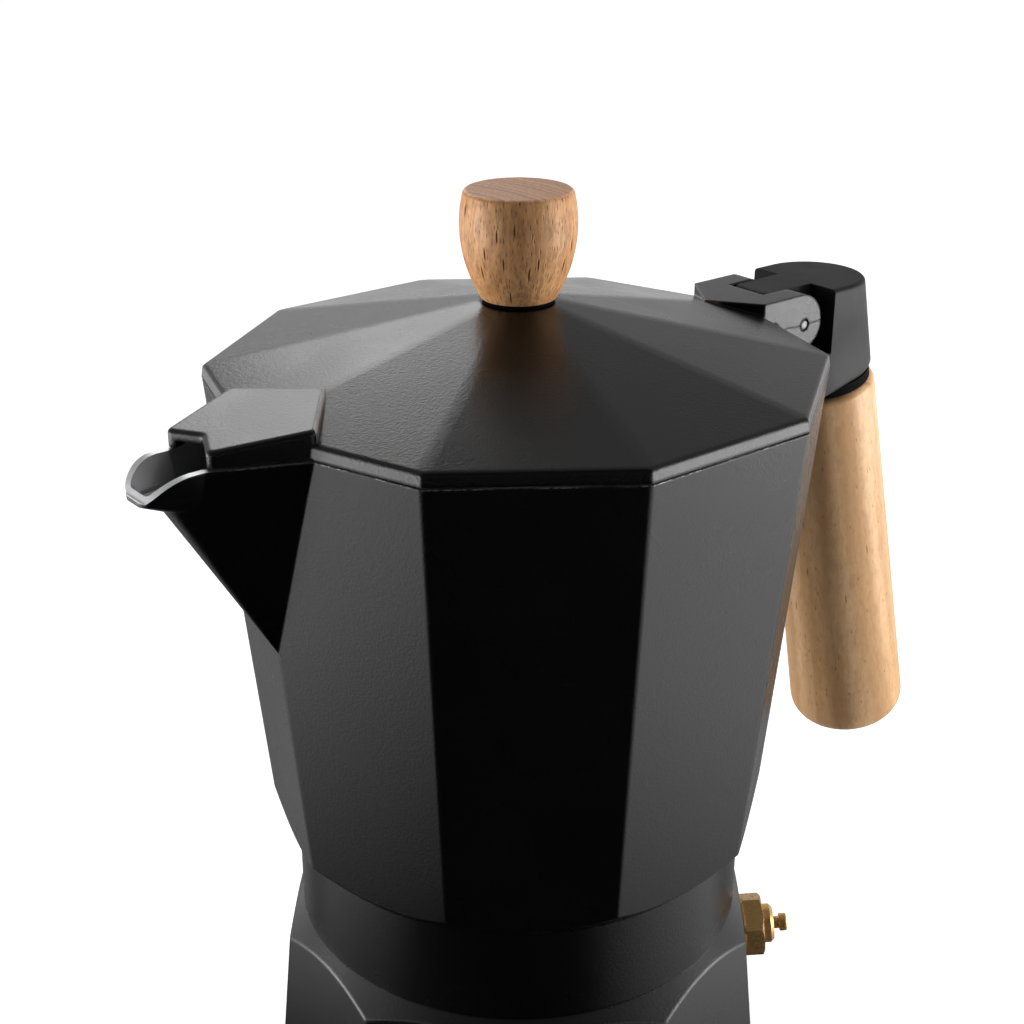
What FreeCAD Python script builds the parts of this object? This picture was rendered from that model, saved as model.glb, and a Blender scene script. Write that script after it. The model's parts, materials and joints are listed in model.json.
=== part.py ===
# Stovetop coffee maker: a ten-sided pot with a wooden handle, screwed onto a ten-sided boiler.
# The origin is the centre of the boiler's flat bottom, with +Z up.
# The handle points to +X and the spout to -X.
import FreeCAD, Part
import math
import os
import re

import Sketcher

Vector = FreeCAD.Vector
Rotation = FreeCAD.Rotation
Placement = FreeCAD.Placement

FACETS = 10
HALF_FACET = 180 / FACETS
UPPER_HOLE_RINGS = (6, 12, 18, 24)
LOWER_HOLE_RINGS = (6, 12, 18)
SPRING_TURNS = 5
HEX_TURN = 6
# Shares of a size: the spout's first section, the round of its nose, and the flat of a screw's head.
ROOT_SHARE = 0.02
NOSE_SHARE = 0.95
HEAD_SHARE = 0.7
# How near an edge lies to a level, and how much it climbs to count as upright, in millimetres.
NEAR = 1e-3
CLIMB = 1.0

# Driving sizes, in millimetres and degrees.
SIZES = {
    # Pot body: corner radii at the seam under the lid and at the foot, and the round band below the foot.
    "seam_height": 190.0,
    "lid_gap": 0.3,
    "seam_radius": 60.0,
    "foot_radius": 51.55,
    "band_step": 5.15,
    "band_drop": 25.0,
    "band_gap": 0.3,
    "band_wall": 4.1,
    "pot_wall": 3.0,
    "pot_floor": 5.0,
    "edge_round": 1.3,
    # Spout: two flat walls that meet in a rounded nose. Its tip is measured out from the pot's corner at the
    # seam, its roots in from the corner at their own levels, and its lip and rim back from the tip.
    "spout_tip": 27.2,
    "spout_half_angle": 24.4,
    "spout_nose": 4.4,
    "spout_back": 15.0,
    "spout_root": 0.5,
    "spout_root_drop": 41.5,
    "spout_wall": 2.3,
    "flare_drop": 7.8,
    "lip_knee": 15.8,
    "lip_front": 5.8,
    "lip_corner": 2.4,
    "lip_side_angle": 10.0,
    "lip_thickness": 0.7,
    "lip_wall": 1.4,
    "rim_side_angle": 0.5,
    "rim_front": 4.7,
    "channel_root": 6.89,
    "channel_drop": 33.0,
    "rim_dip_start": 13.8,
    "rim_dip_end": 6.3,
    "rim_dip": 4.5,
    # Lid, measured up from the seam. The point and the shoulder of its cover over the spout lie in from the
    # pot's corner, and the cover's front lies out from it.
    "lid_skirt": 2.5,
    "skirt_lean": 0.35,
    "crown_radius": 7.8,
    "crown_height": 14.1,
    "lid_wall": 2.3,
    "lid_round": 0.9,
    "ridge_round": 18.0,
    "cover_point": 17.0,
    "cover_shoulder": 5.8,
    "cover_shoulder_half": 14.2,
    "cover_front": 11.2,
    "cover_front_half": 7.1,
    "cover_notch": 3.4,
    "cover_front_height": 3.0,
    "cover_back_height": 6.4,
    "cover_plate": 2.0,
    "cover_round": 0.9,
    "cover_corner": 1.3,
    # Hinge between lid and handle bracket. Pin and tongue lie out from the pot's corner, and the point and
    # the shoulder of the lug in from it.
    "pin_reach": 9.0,
    "pin_drop": 1.7,
    "pin_radius": 1.25,
    "pin_clearance": 0.05,
    "pin_end_round": 0.7,
    "knuckle_radius": 5.07,
    "knuckle_gap": 2.43,
    "lug_top": 5.0,
    "lug_point": 10.6,
    "lug_shoulder": 3.4,
    "lug_half": 10.3,
    "lug_plate": 1.8,
    "lug_front_gap": 1.4,
    "tongue_front": 2.9,
    "tongue_half": 4.7,
    "tongue_round": 1.3,
    "tongue_gap": 0.4,
    # Handle bracket and grip: arm, tenon and cross screw lie out from the pot's corner, and the top of the
    # grip's axis out from the bracket's face.
    "bracket_top": 4.8,
    "bracket_radius": 11.7,
    "arm_gap": 0.46,
    "arm_front_half": 8.0,
    "arm_shoulder": 10.0,
    "bracket_round": 1.0,
    "bracket_foot_round": 1.6,
    "tenon_half": 4.9,
    "tenon_top": 11.0,
    "tenon_foot": 16.6,
    "tenon_reach": 11.0,
    "tenon_gap": 0.1,
    "grip_reach": 10.25,
    "grip_drop": 19.5,
    "grip_lean": 12.4,
    "grip_top_radius": 12.2,
    "grip_end_radius": 13.75,
    "grip_length": 94.4,
    "grip_edge_round": 1.8,
    "grip_end_round": 6.0,
    "collar_radius": 11.2,
    "collar_length": 2.2,
    "rod_radius": 2.5,
    "rod_gap": 0.1,
    "rod_grip": 13.0,
    "rod_head_radius": 4.2,
    "rod_head": 3.0,
    "rod_bore_radius": 4.8,
    "rod_bore_depth": 9.0,
    "washer_thickness": 0.8,
    "cross_screw_reach": 5.5,
    "cross_screw_drop": 13.8,
    "cross_screw_radius": 1.6,
    "cross_head_radius": 3.0,
    "cross_head": 2.2,
    "cross_head_seat": 6.6,
    "cross_screw_end": 7.2,
    # Knob.
    "spacer_thickness": 0.8,
    "spacer_radius": 6.8,
    "knob_foot_radius": 7.1,
    "knob_radius": 11.0,
    "knob_widest": 14.0,
    "knob_top_radius": 10.2,
    "knob_height": 20.2,
    "knob_edge_round": 0.9,
    "knob_screw_radius": 2.0,
    "knob_screw_grip": 12.0,
    "knob_screw_head_radius": 4.0,
    "knob_screw_head": 2.2,
    # Boiler: its corners lie in from the pot's, at the foot from those at the seam.
    "boiler_height": 74.2,
    "boiler_turn": 14.16,
    "boiler_inset": 1.5,
    "boiler_foot_inset": 2.5,
    "shoulder_step": 0.9,
    "boiler_chamfer": 1.6,
    "boiler_wall": 3.4,
    "boiler_floor": 4.0,
    "neck_height": 17.0,
    "neck_wall": 3.8,
    "thread_clearance": 0.3,
    # Funnel, gasket and filter plates.
    "flange_thickness": 1.0,
    "flange_inset": 0.4,
    "basket_gap": 0.4,
    "basket_depth": 22.0,
    "sheet_wall": 1.0,
    "disc_ledge": 2.0,
    "disc_thickness": 0.8,
    "funnel_slope": 9.0,
    "tube_radius": 4.5,
    "tube_clearance": 4.0,
    "gasket_thickness": 3.6,
    "gasket_ledge": 3.5,
    "plate_inset": 7.0,
    "plate_thickness": 0.9,
    "plate_gap": 0.1,
    "hole_radius": 0.9,
    "hole_ring_step": 6.6,
    "bell_inset": 2.5,
    "bell_height": 2.0,
    # Riser column.
    "column_radius": 9.0,
    "column_top_radius": 6.2,
    "column_height": 62.0,
    "column_wall": 1.8,
    "column_spigot_radius": 7.0,
    "column_fit": 0.05,
    "outlet_width": 5.0,
    "outlet_height": 9.0,
    "outlet_drop": 4.0,
    # Safety valve, below the boiler's shoulder and measured along its own axis from the facet.
    "valve_drop": 12.2,
    "valve_hex_flats": 12.0,
    "valve_hex": 4.1,
    "valve_hex_chamfer": 25.0,
    "valve_boss_radius": 4.15,
    "valve_boss": 2.3,
    "valve_boss_chamfer": 0.7,
    "valve_thread_radius": 4.9,
    "valve_depth": 9.0,
    "valve_thread_fit": 0.05,
    "valve_chamber_radius": 3.4,
    "valve_cap_wall": 1.6,
    "valve_stem_radius": 1.3,
    "valve_stem_fit": 0.08,
    "valve_stem_out": 1.4,
    "valve_head_radius": 1.9,
    "valve_head": 1.6,
    "valve_disc_radius": 2.9,
    "valve_disc": 1.0,
    "valve_seal_thickness": 0.9,
    "valve_seat_thickness": 2.0,
    "valve_inlet_radius": 1.7,
    "valve_washer_radius": 6.6,
    "valve_washer_thickness": 0.8,
    "spring_wire": 0.6,
    "spring_radius": 2.4,
    "spring_end_gap": 0.05,
}

doc = FreeCAD.newDocument("coffee_pot")
sheet = doc.addObject("Spreadsheet::Sheet", "Sizes")
for row, (alias, number) in enumerate(SIZES.items(), start=1):
    sheet.set(f"A{row}", alias)
    sheet.set(f"B{row}", str(number))
    sheet.setAlias(f"B{row}", alias)
doc.recompute()

ALIAS = re.compile(r"[a-z]+(?:_[a-z]+)+")


def cells(rule):
    """The rule with each size named as a cell of the sheet."""
    return ALIAS.sub(lambda found: "Sizes." + found.group(), rule)


def value(rule):
    """What the rule comes to, as a plain number."""
    return float(sheet.evalExpression(rule))


def bind(thing, target, rule):
    thing.setExpression(target, cells(rule))


# Levels and places that several pieces share, as rules on the sizes.
COS = f"cos({HALF_FACET})"
RIM = "(seam_height - lid_gap)"
SEAM = "seam_height"
BAND_FOOT = "(boiler_height + band_gap)"
FOOT = f"({BAND_FOOT} + band_drop)"
POT_TAPER = f"((seam_radius - foot_radius) / (seam_height - {FOOT}))"


def pot_radius(level):
    """Rule for the pot's corner radius at a level."""
    return f"(seam_radius - {POT_TAPER} * (seam_height - {level}))"


BAND = "(foot_radius - band_step)"
BAND_TOP = f"({FOOT} - band_step)"
THREAD_BORE = f"({BAND} - band_wall)"
NECK = f"({THREAD_BORE} - thread_clearance)"
NECK_TOP = "(boiler_height + neck_height)"
NECK_BORE = f"({NECK} - neck_wall)"
BOILER_FOOT = "(seam_radius - boiler_foot_inset)"
BOILER_TOP = "(foot_radius - boiler_inset)"
SHOULDER = f"({BAND} - shoulder_step)"
FLANGE = f"({NECK} - flange_inset)"
PLATE = f"({NECK} - plate_inset)"
GASKET_BORE = f"({PLATE} - gasket_ledge)"
BELL = f"({GASKET_BORE} - bell_inset)"
CEILING = f"({NECK_TOP} + flange_thickness + gasket_thickness)"
POT_FLOOR = f"({CEILING} + pot_floor)"
SPOUT_TIP = "(seam_radius + spout_tip)"
SPOUT_BACK = "(seam_radius - spout_back)"
SPOUT_ROOT = f"({pot_radius(f'({RIM} - spout_root_drop)')} - spout_root)"
CHANNEL_ROOT = f"({pot_radius(f'({RIM} - channel_drop)')} - channel_root)"
LIP_KNEE = f"({SPOUT_TIP} - lip_knee)"
LIP_FRONT = f"({SPOUT_TIP} - lip_front)"
RIM_FRONT = f"({SPOUT_TIP} - rim_front)"
DIP_START = f"({SPOUT_TIP} - rim_dip_start)"
DIP_END = f"({SPOUT_TIP} - rim_dip_end)"
DIP_ARC = "(((rim_dip_start - rim_dip_end)^2 + rim_dip^2) / (2 * rim_dip))"
COVER_POINT = "(seam_radius - cover_point)"
COVER_SHOULDER = "(seam_radius - cover_shoulder)"
COVER_FRONT = "(seam_radius + cover_front)"
LUG_POINT = "(seam_radius - lug_point)"
LUG_SHOULDER = "(seam_radius - lug_shoulder)"
LUG_NECK = "(seam_radius + tongue_gap / 2)"
PIN_LEVEL = "(seam_height - pin_drop)"
PIN_REACH = "(seam_radius + pin_reach)"
TONGUE_FRONT = "(seam_radius + tongue_front)"
BRACKET_TOP = "(seam_height + bracket_top)"
BRACKET_FACE = f"({PIN_REACH} + knuckle_radius + knuckle_gap)"
ARM_TOP = f"({PIN_LEVEL} - knuckle_radius - knuckle_gap)"
ARM_FRONT = f"({pot_radius(ARM_TOP)} + arm_gap)"
ARM_SHOULDER = "(seam_radius + arm_shoulder)"
TENON_REACH = "(seam_radius + tenon_reach)"
CROSS_REACH = "(seam_radius + cross_screw_reach)"
GRIP_REACH = f"({BRACKET_FACE} + grip_reach)"
BRACKET_FOOT_REACH = f"({GRIP_REACH} - sin(grip_lean) * collar_length)"
BRACKET_FOOT = "(seam_height - grip_drop + cos(grip_lean) * collar_length)"
ARM_FOOT = f"({BRACKET_FOOT} - ({BRACKET_FOOT_REACH} - {BRACKET_FACE}) * tan(grip_lean))"
CROWN = "(seam_height + crown_height)"
CROWN_INSIDE = "(seam_height + crown_height - lid_wall)"
KNOB_FOOT = "(seam_height + crown_height + spacer_thickness)"
BASKET_WALL = f"({NECK_BORE} - basket_gap)"
LEDGE = f"({NECK_TOP} + flange_thickness - basket_depth)"
VALVE_LEVEL = "(boiler_height - valve_drop)"
VALVE_INSIDE = "(-valve_depth)"
VALVE_SEAT = "(valve_seat_thickness - valve_depth)"
VALVE_HEX_TOP = "(valve_washer_thickness + valve_hex)"
VALVE_TOP = "(valve_washer_thickness + valve_hex + valve_boss)"
VALVE_SHOULDER = f"({VALVE_TOP} - valve_cap_wall)"
VALVE_DISC = f"({VALVE_SEAT} + valve_seal_thickness)"


def boiler_radius(level):
    """Rule for the boiler's corner radius at a level."""
    return f"({BOILER_FOOT} - ({BOILER_FOOT} - {BOILER_TOP}) * {level} / boiler_height)"


def origin_plane(body, role):
    return next(plane for plane in body.Origin.OriginFeatures if plane.Role == role)


def arc_middle(start, end, radius):
    """Middle of the arc from start to end; a positive radius bulges to the right of the way there."""
    half = (end - start) / 2
    reach = math.sqrt(max(radius * radius - half.Length * half.Length, 0.0))
    side = Vector(half.y, -half.x, 0).normalize()
    rise = abs(radius) - reach
    return start + half + side * math.copysign(rise, radius)


def outline(sketch, corners, arcs=None):
    """Closed outline through corners, which are pairs of rules; arcs has each round side's radius rule."""
    arcs = arcs or {}
    spots = [Vector(value(across), value(up), 0) for across, up in corners]
    ends = []
    for side, start in enumerate(spots):
        end = spots[(side + 1) % len(spots)]
        if side in arcs:
            middle = arc_middle(start, end, value(arcs[side]))
            index = sketch.addGeometry(Part.Arc(start, middle, end), False)
            turned_round = sketch.Geometry[index].StartPoint.distanceToPoint(start) > NEAR
            ends.append((index, 2, 1) if turned_round else (index, 1, 2))
        else:
            index = sketch.addGeometry(Part.LineSegment(start, end), False)
            ends.append((index, 1, 2))
    for side, (index, _, last) in enumerate(ends):
        following, start_of_next, _ = ends[(side + 1) % len(ends)]
        sketch.addConstraint(Sketcher.Constraint("Coincident", index, last, following, start_of_next))
    for side, (across, up) in enumerate(corners):
        index, first, _ = ends[side]
        for kind, rule, number in (("DistanceX", across, spots[side].x), ("DistanceY", up, spots[side].y)):
            made = sketch.addConstraint(Sketcher.Constraint(kind, -1, 1, index, first, number))
            bind(sketch, f"Constraints[{made}]", rule)
    for side, rule in arcs.items():
        made = sketch.addConstraint(Sketcher.Constraint("Radius", ends[side][0], abs(value(rule))))
        bind(sketch, f"Constraints[{made}]", f"abs({rule})")


def new_body(name):
    body = doc.addObject("PartDesign::Body", name)
    body.Label = name
    return body


def new_sketch(body, name, role):
    sketch = body.newObject("Sketcher::SketchObject", name)
    sketch.AttachmentSupport = [(origin_plane(body, role), "")]
    sketch.MapMode = "FlatFace"
    return sketch


def turned(name, corners, arcs=None):
    """A piece turned about its own Z axis from an outline of radius and level."""
    body = new_body(name)
    sketch = new_sketch(body, name + "_profile", "XZ_Plane")
    outline(sketch, corners, arcs)
    turn = body.newObject("PartDesign::Revolution", name + "_turn")
    turn.Profile = sketch
    turn.ReferenceAxis = (sketch, ["V_Axis"])
    turn.Angle = 360
    doc.recompute()
    return body


def rounded_edges(body, name, radius, chosen):
    """Fillet on the edges of the body's tip that the test picks."""
    base = body.Tip
    names = [f"Edge{number}" for number, edge in enumerate(base.Shape.Edges, start=1) if chosen(edge)]
    fillet = body.newObject("PartDesign::Fillet", name)
    fillet.Base = (base, names)
    bind(fillet, "Radius", radius)
    doc.recompute()
    return fillet


def decagon(name, radius, level, turn="0"):
    section = doc.addObject("Part::RegularPolygon", name)
    section.Polygon = FACETS
    section.Placement = Placement(Vector(), Rotation(Vector(0, 0, 1), value(turn)))
    bind(section, "Circumradius", radius)
    bind(section, "Placement.Base.z", level)
    return section


def loft(name, sections):
    """Straight-sided solid through the sections."""
    thing = doc.addObject("Part::Loft", name)
    thing.Sections = sections
    thing.Solid = True
    thing.Ruled = True
    doc.recompute()
    return thing


def slab(name, corners, arcs, role, start, end):
    """Solid of an outline: role XY is raised from start to end, role XZ reaches to end on both sides."""
    sketch = doc.addObject("Sketcher::SketchObject", name + "_outline")
    if role == "XZ":
        sketch.Placement = Placement(Vector(), Rotation(Vector(1, 0, 0), 90))
    else:
        bind(sketch, "Placement.Base.z", start)
    outline(sketch, corners, arcs)
    solid = doc.addObject("Part::Extrusion", name)
    solid.Base = sketch
    solid.DirMode = "Normal"
    solid.Solid = True
    solid.Symmetric = role == "XZ"
    bind(solid, "LengthFwd", f"2 * ({end})" if role == "XZ" else f"({end}) - ({start})")
    doc.recompute()
    return solid


def cylinder(name, radius, foot, top):
    solid = doc.addObject("Part::Cylinder", name)
    bind(solid, "Radius", radius)
    bind(solid, "Height", f"({top}) - ({foot})")
    bind(solid, "Placement.Base.z", foot)
    return solid


def cross_hole(name, radius, reach, level, foot, top):
    """Round rod along Y at a place of the handle side, from Y = foot to Y = top."""
    solid = doc.addObject("Part::Cylinder", name)
    solid.Placement = Placement(Vector(), Rotation(Vector(1, 0, 0), -90))
    bind(solid, "Radius", radius)
    bind(solid, "Height", f"({top}) - ({foot})")
    bind(solid, "Placement.Base.x", reach)
    bind(solid, "Placement.Base.y", foot)
    bind(solid, "Placement.Base.z", level)
    return solid


def fuse(name, shapes):
    joined = doc.addObject("Part::MultiFuse", name)
    joined.Shapes = shapes
    joined.Refine = True
    doc.recompute()
    return joined


def common(name, first, second):
    shared = doc.addObject("Part::Common", name)
    shared.Base = first
    shared.Tool = second
    doc.recompute()
    return shared


def cut(name, base, tools):
    """The base less the tools, which are joined first where there are several."""
    tool = tools[0] if len(tools) == 1 else fuse(name + "_tools", tools)
    rest = doc.addObject("Part::Cut", name)
    rest.Base = base
    rest.Tool = tool
    rest.Refine = True
    doc.recompute()
    return rest


def filleted(name, base, choices):
    """Part fillet on edges of the base: each choice is a radius rule and a test of an edge."""
    edges = []
    for radius, chosen in choices:
        reach = value(radius)
        edges += [(n, reach, reach) for n, edge in enumerate(base.Shape.Edges, start=1) if chosen(edge)]
    thing = doc.addObject("Part::Fillet", name)
    thing.Base = base
    thing.Edges = edges
    doc.recompute()
    return thing


def named(thing, label):
    thing.Label = label
    return thing


def edge_levels(edge):
    return sorted(vertex.Z for vertex in edge.Vertexes)


def is_upright(edge):
    """True for an edge that runs from one level to another."""
    levels = edge_levels(edge)
    return levels[-1] - levels[0] > CLIMB


def lies_at(edge, level):
    levels = edge_levels(edge)
    return abs(levels[0] - level) < NEAR and abs(levels[-1] - level) < NEAR


def spout_section(name, tip, knee, side_angle, front, corner, back, drop):
    """Level outline of the spout: a straight back, two walls that close towards the tip as far as the knee,
    two sides from the knee to round corners, and a short straight front."""
    knee_half = f"(({tip} - {knee}) * tan(spout_half_angle))"
    closing = f"({front} - {corner} - {knee}) * tan({side_angle})"
    flat = f"({knee_half} - {closing} - {corner} / cos({side_angle}))"
    flank = f"-({front} - {corner} + {corner} * sin({side_angle}))"
    flank_half = f"({flat} + {corner} * cos({side_angle}))"
    back_half = f"(({tip} - {back}) * tan(spout_half_angle))"
    corners = [
        (f"-{back}", f"-{back_half}"),
        (f"-{back}", back_half),
        (f"-{knee}", knee_half),
        (flank, flank_half),
        (f"-{front}", flat),
        (f"-{front}", f"-{flat}"),
        (flank, f"-{flank_half}"),
        (f"-{knee}", f"-{knee_half}"),
    ]
    sketch = doc.addObject("Sketcher::SketchObject", name)
    outline(sketch, corners, {3: corner, 5: corner})
    bind(sketch, "Placement.Base.z", f"{RIM} - ({drop})")
    doc.recompute()
    return sketch


def spout_solid(name, wall, lip_wall, root, root_drop):
    """Spout from its root on the pot's corner up to the rim, with a blunt flared lip; the walls move the
    outline inwards, for the channel."""

    def at(share, full):
        """A distance on the straight spout, where share is 0 at the root and 1 at the rim."""
        return f"({root} + {share} * ({full} - {root}))"

    def straight(label, share, inset, drop):
        """Section of the straight spout, whose two walls meet in one round nose."""
        nose = f"({share} * spout_nose - {inset})"
        tip = f"({at(share, SPOUT_TIP)} - {inset} / sin(spout_half_angle))"
        front = f"({tip} - {nose} * (1 / sin(spout_half_angle) - 1))"
        knee = f"({front} - {nose})"
        corner = f"({NOSE_SHARE} * {nose})"
        return spout_section(
            f"{name}_{label}", tip, knee, "spout_half_angle", front, corner, at(share, SPOUT_BACK), drop,
        )

    def flared(label, share, side_angle, front, drop):
        tip = f"({at(share, SPOUT_TIP)} - {lip_wall} / sin(spout_half_angle))"
        return spout_section(
            f"{name}_{label}", tip, LIP_KNEE, side_angle, f"({front} - {lip_wall})",
            f"(lip_corner - {lip_wall})", at(share, SPOUT_BACK), drop,
        )

    foot_share = "(1 - (rim_dip + lip_thickness) / spout_root_drop)"
    lip_share = "(1 - rim_dip / spout_root_drop)"
    flare_share = "(1 - flare_drop / spout_root_drop)"
    return loft(name, [
        straight("root", ROOT_SHARE, "0", root_drop),
        straight("flare", flare_share, wall, "flare_drop"),
        flared("lip_foot", foot_share, "lip_side_angle", LIP_FRONT, "(rim_dip + lip_thickness)"),
        flared("lip", lip_share, "lip_side_angle", LIP_FRONT, "rim_dip"),
        flared("rim", "1", "rim_side_angle", RIM_FRONT, "0"),
    ])


def make_collector():
    """Upper pot: faceted wall, round threaded band, spout and the tenon that carries the handle bracket."""
    facets = loft("pot_facets", [
        decagon("pot_rim", pot_radius(RIM), RIM),
        decagon("pot_foot", pot_radius(BAND_TOP), BAND_TOP),
    ])
    soft_facets = filleted("pot_soft_facets", facets, [("edge_round", is_upright)])
    cone = doc.addObject("Part::Cone", "pot_foot_cone")
    bind(cone, "Radius1", BAND)
    bind(cone, "Radius2", f"{BAND} + seam_height - {BAND_TOP}")
    bind(cone, "Height", f"seam_height - {BAND_TOP}")
    bind(cone, "Placement.Base.z", BAND_TOP)
    doc.recompute()
    trimmed = common("pot_trimmed", soft_facets, cone)
    band = cylinder("pot_band", BAND, BAND_FOOT, FOOT)
    spout = spout_solid("pot_spout", "0", "0", SPOUT_ROOT, "spout_root_drop")
    tenon = slab(
        "pot_tenon",
        [
            (pot_radius(FOOT), "seam_height - tenon_foot"),
            (TENON_REACH, "seam_height - tenon_foot"),
            (TENON_REACH, "seam_height - tenon_top"),
            (pot_radius(FOOT), "seam_height - tenon_top"),
        ],
        None, "XZ", "0", "tenon_half",
    )
    whole = fuse("pot_whole", [trimmed, band, spout, tenon])
    inside = f"pot_wall / {COS}"
    chamber = loft("pot_chamber", [
        decagon("pot_chamber_top", f"{pot_radius(SEAM)} - {inside}", SEAM),
        decagon("pot_chamber_floor", f"{pot_radius(POT_FLOOR)} - {inside}", POT_FLOOR),
    ])
    channel = spout_solid("pot_channel", "spout_wall", "lip_wall", CHANNEL_ROOT, "channel_drop")
    dip = slab(
        "rim_dip_tool",
        [
            (f"-{DIP_START}", RIM),
            (f"-{DIP_END}", f"{RIM} - rim_dip"),
            (f"-{SPOUT_TIP}", f"{RIM} - rim_dip"),
            (f"-{SPOUT_TIP}", "seam_height + rim_dip"),
            (f"-{DIP_START}", "seam_height + rim_dip"),
        ],
        {0: DIP_ARC}, "XZ", "0", "cover_shoulder_half",
    )
    thread = cylinder("pot_thread_bore", THREAD_BORE, f"{BAND_FOOT} - pot_floor", CEILING)
    bell = cylinder("pot_bell", BELL, f"{CEILING} - pot_floor", f"{CEILING} + bell_height")
    hole = cylinder(
        "pot_column_hole", "column_spigot_radius + column_fit", CEILING, f"{POT_FLOOR} + pot_floor",
    )
    cross = cross_hole(
        "pot_cross_hole", "cross_screw_radius + tenon_gap", CROSS_REACH,
        "seam_height - cross_screw_drop", "-bracket_radius", "bracket_radius",
    )
    named(cut("collector_solid", whole, [chamber, channel, dip, thread, bell, hole, cross]), "collector")


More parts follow.
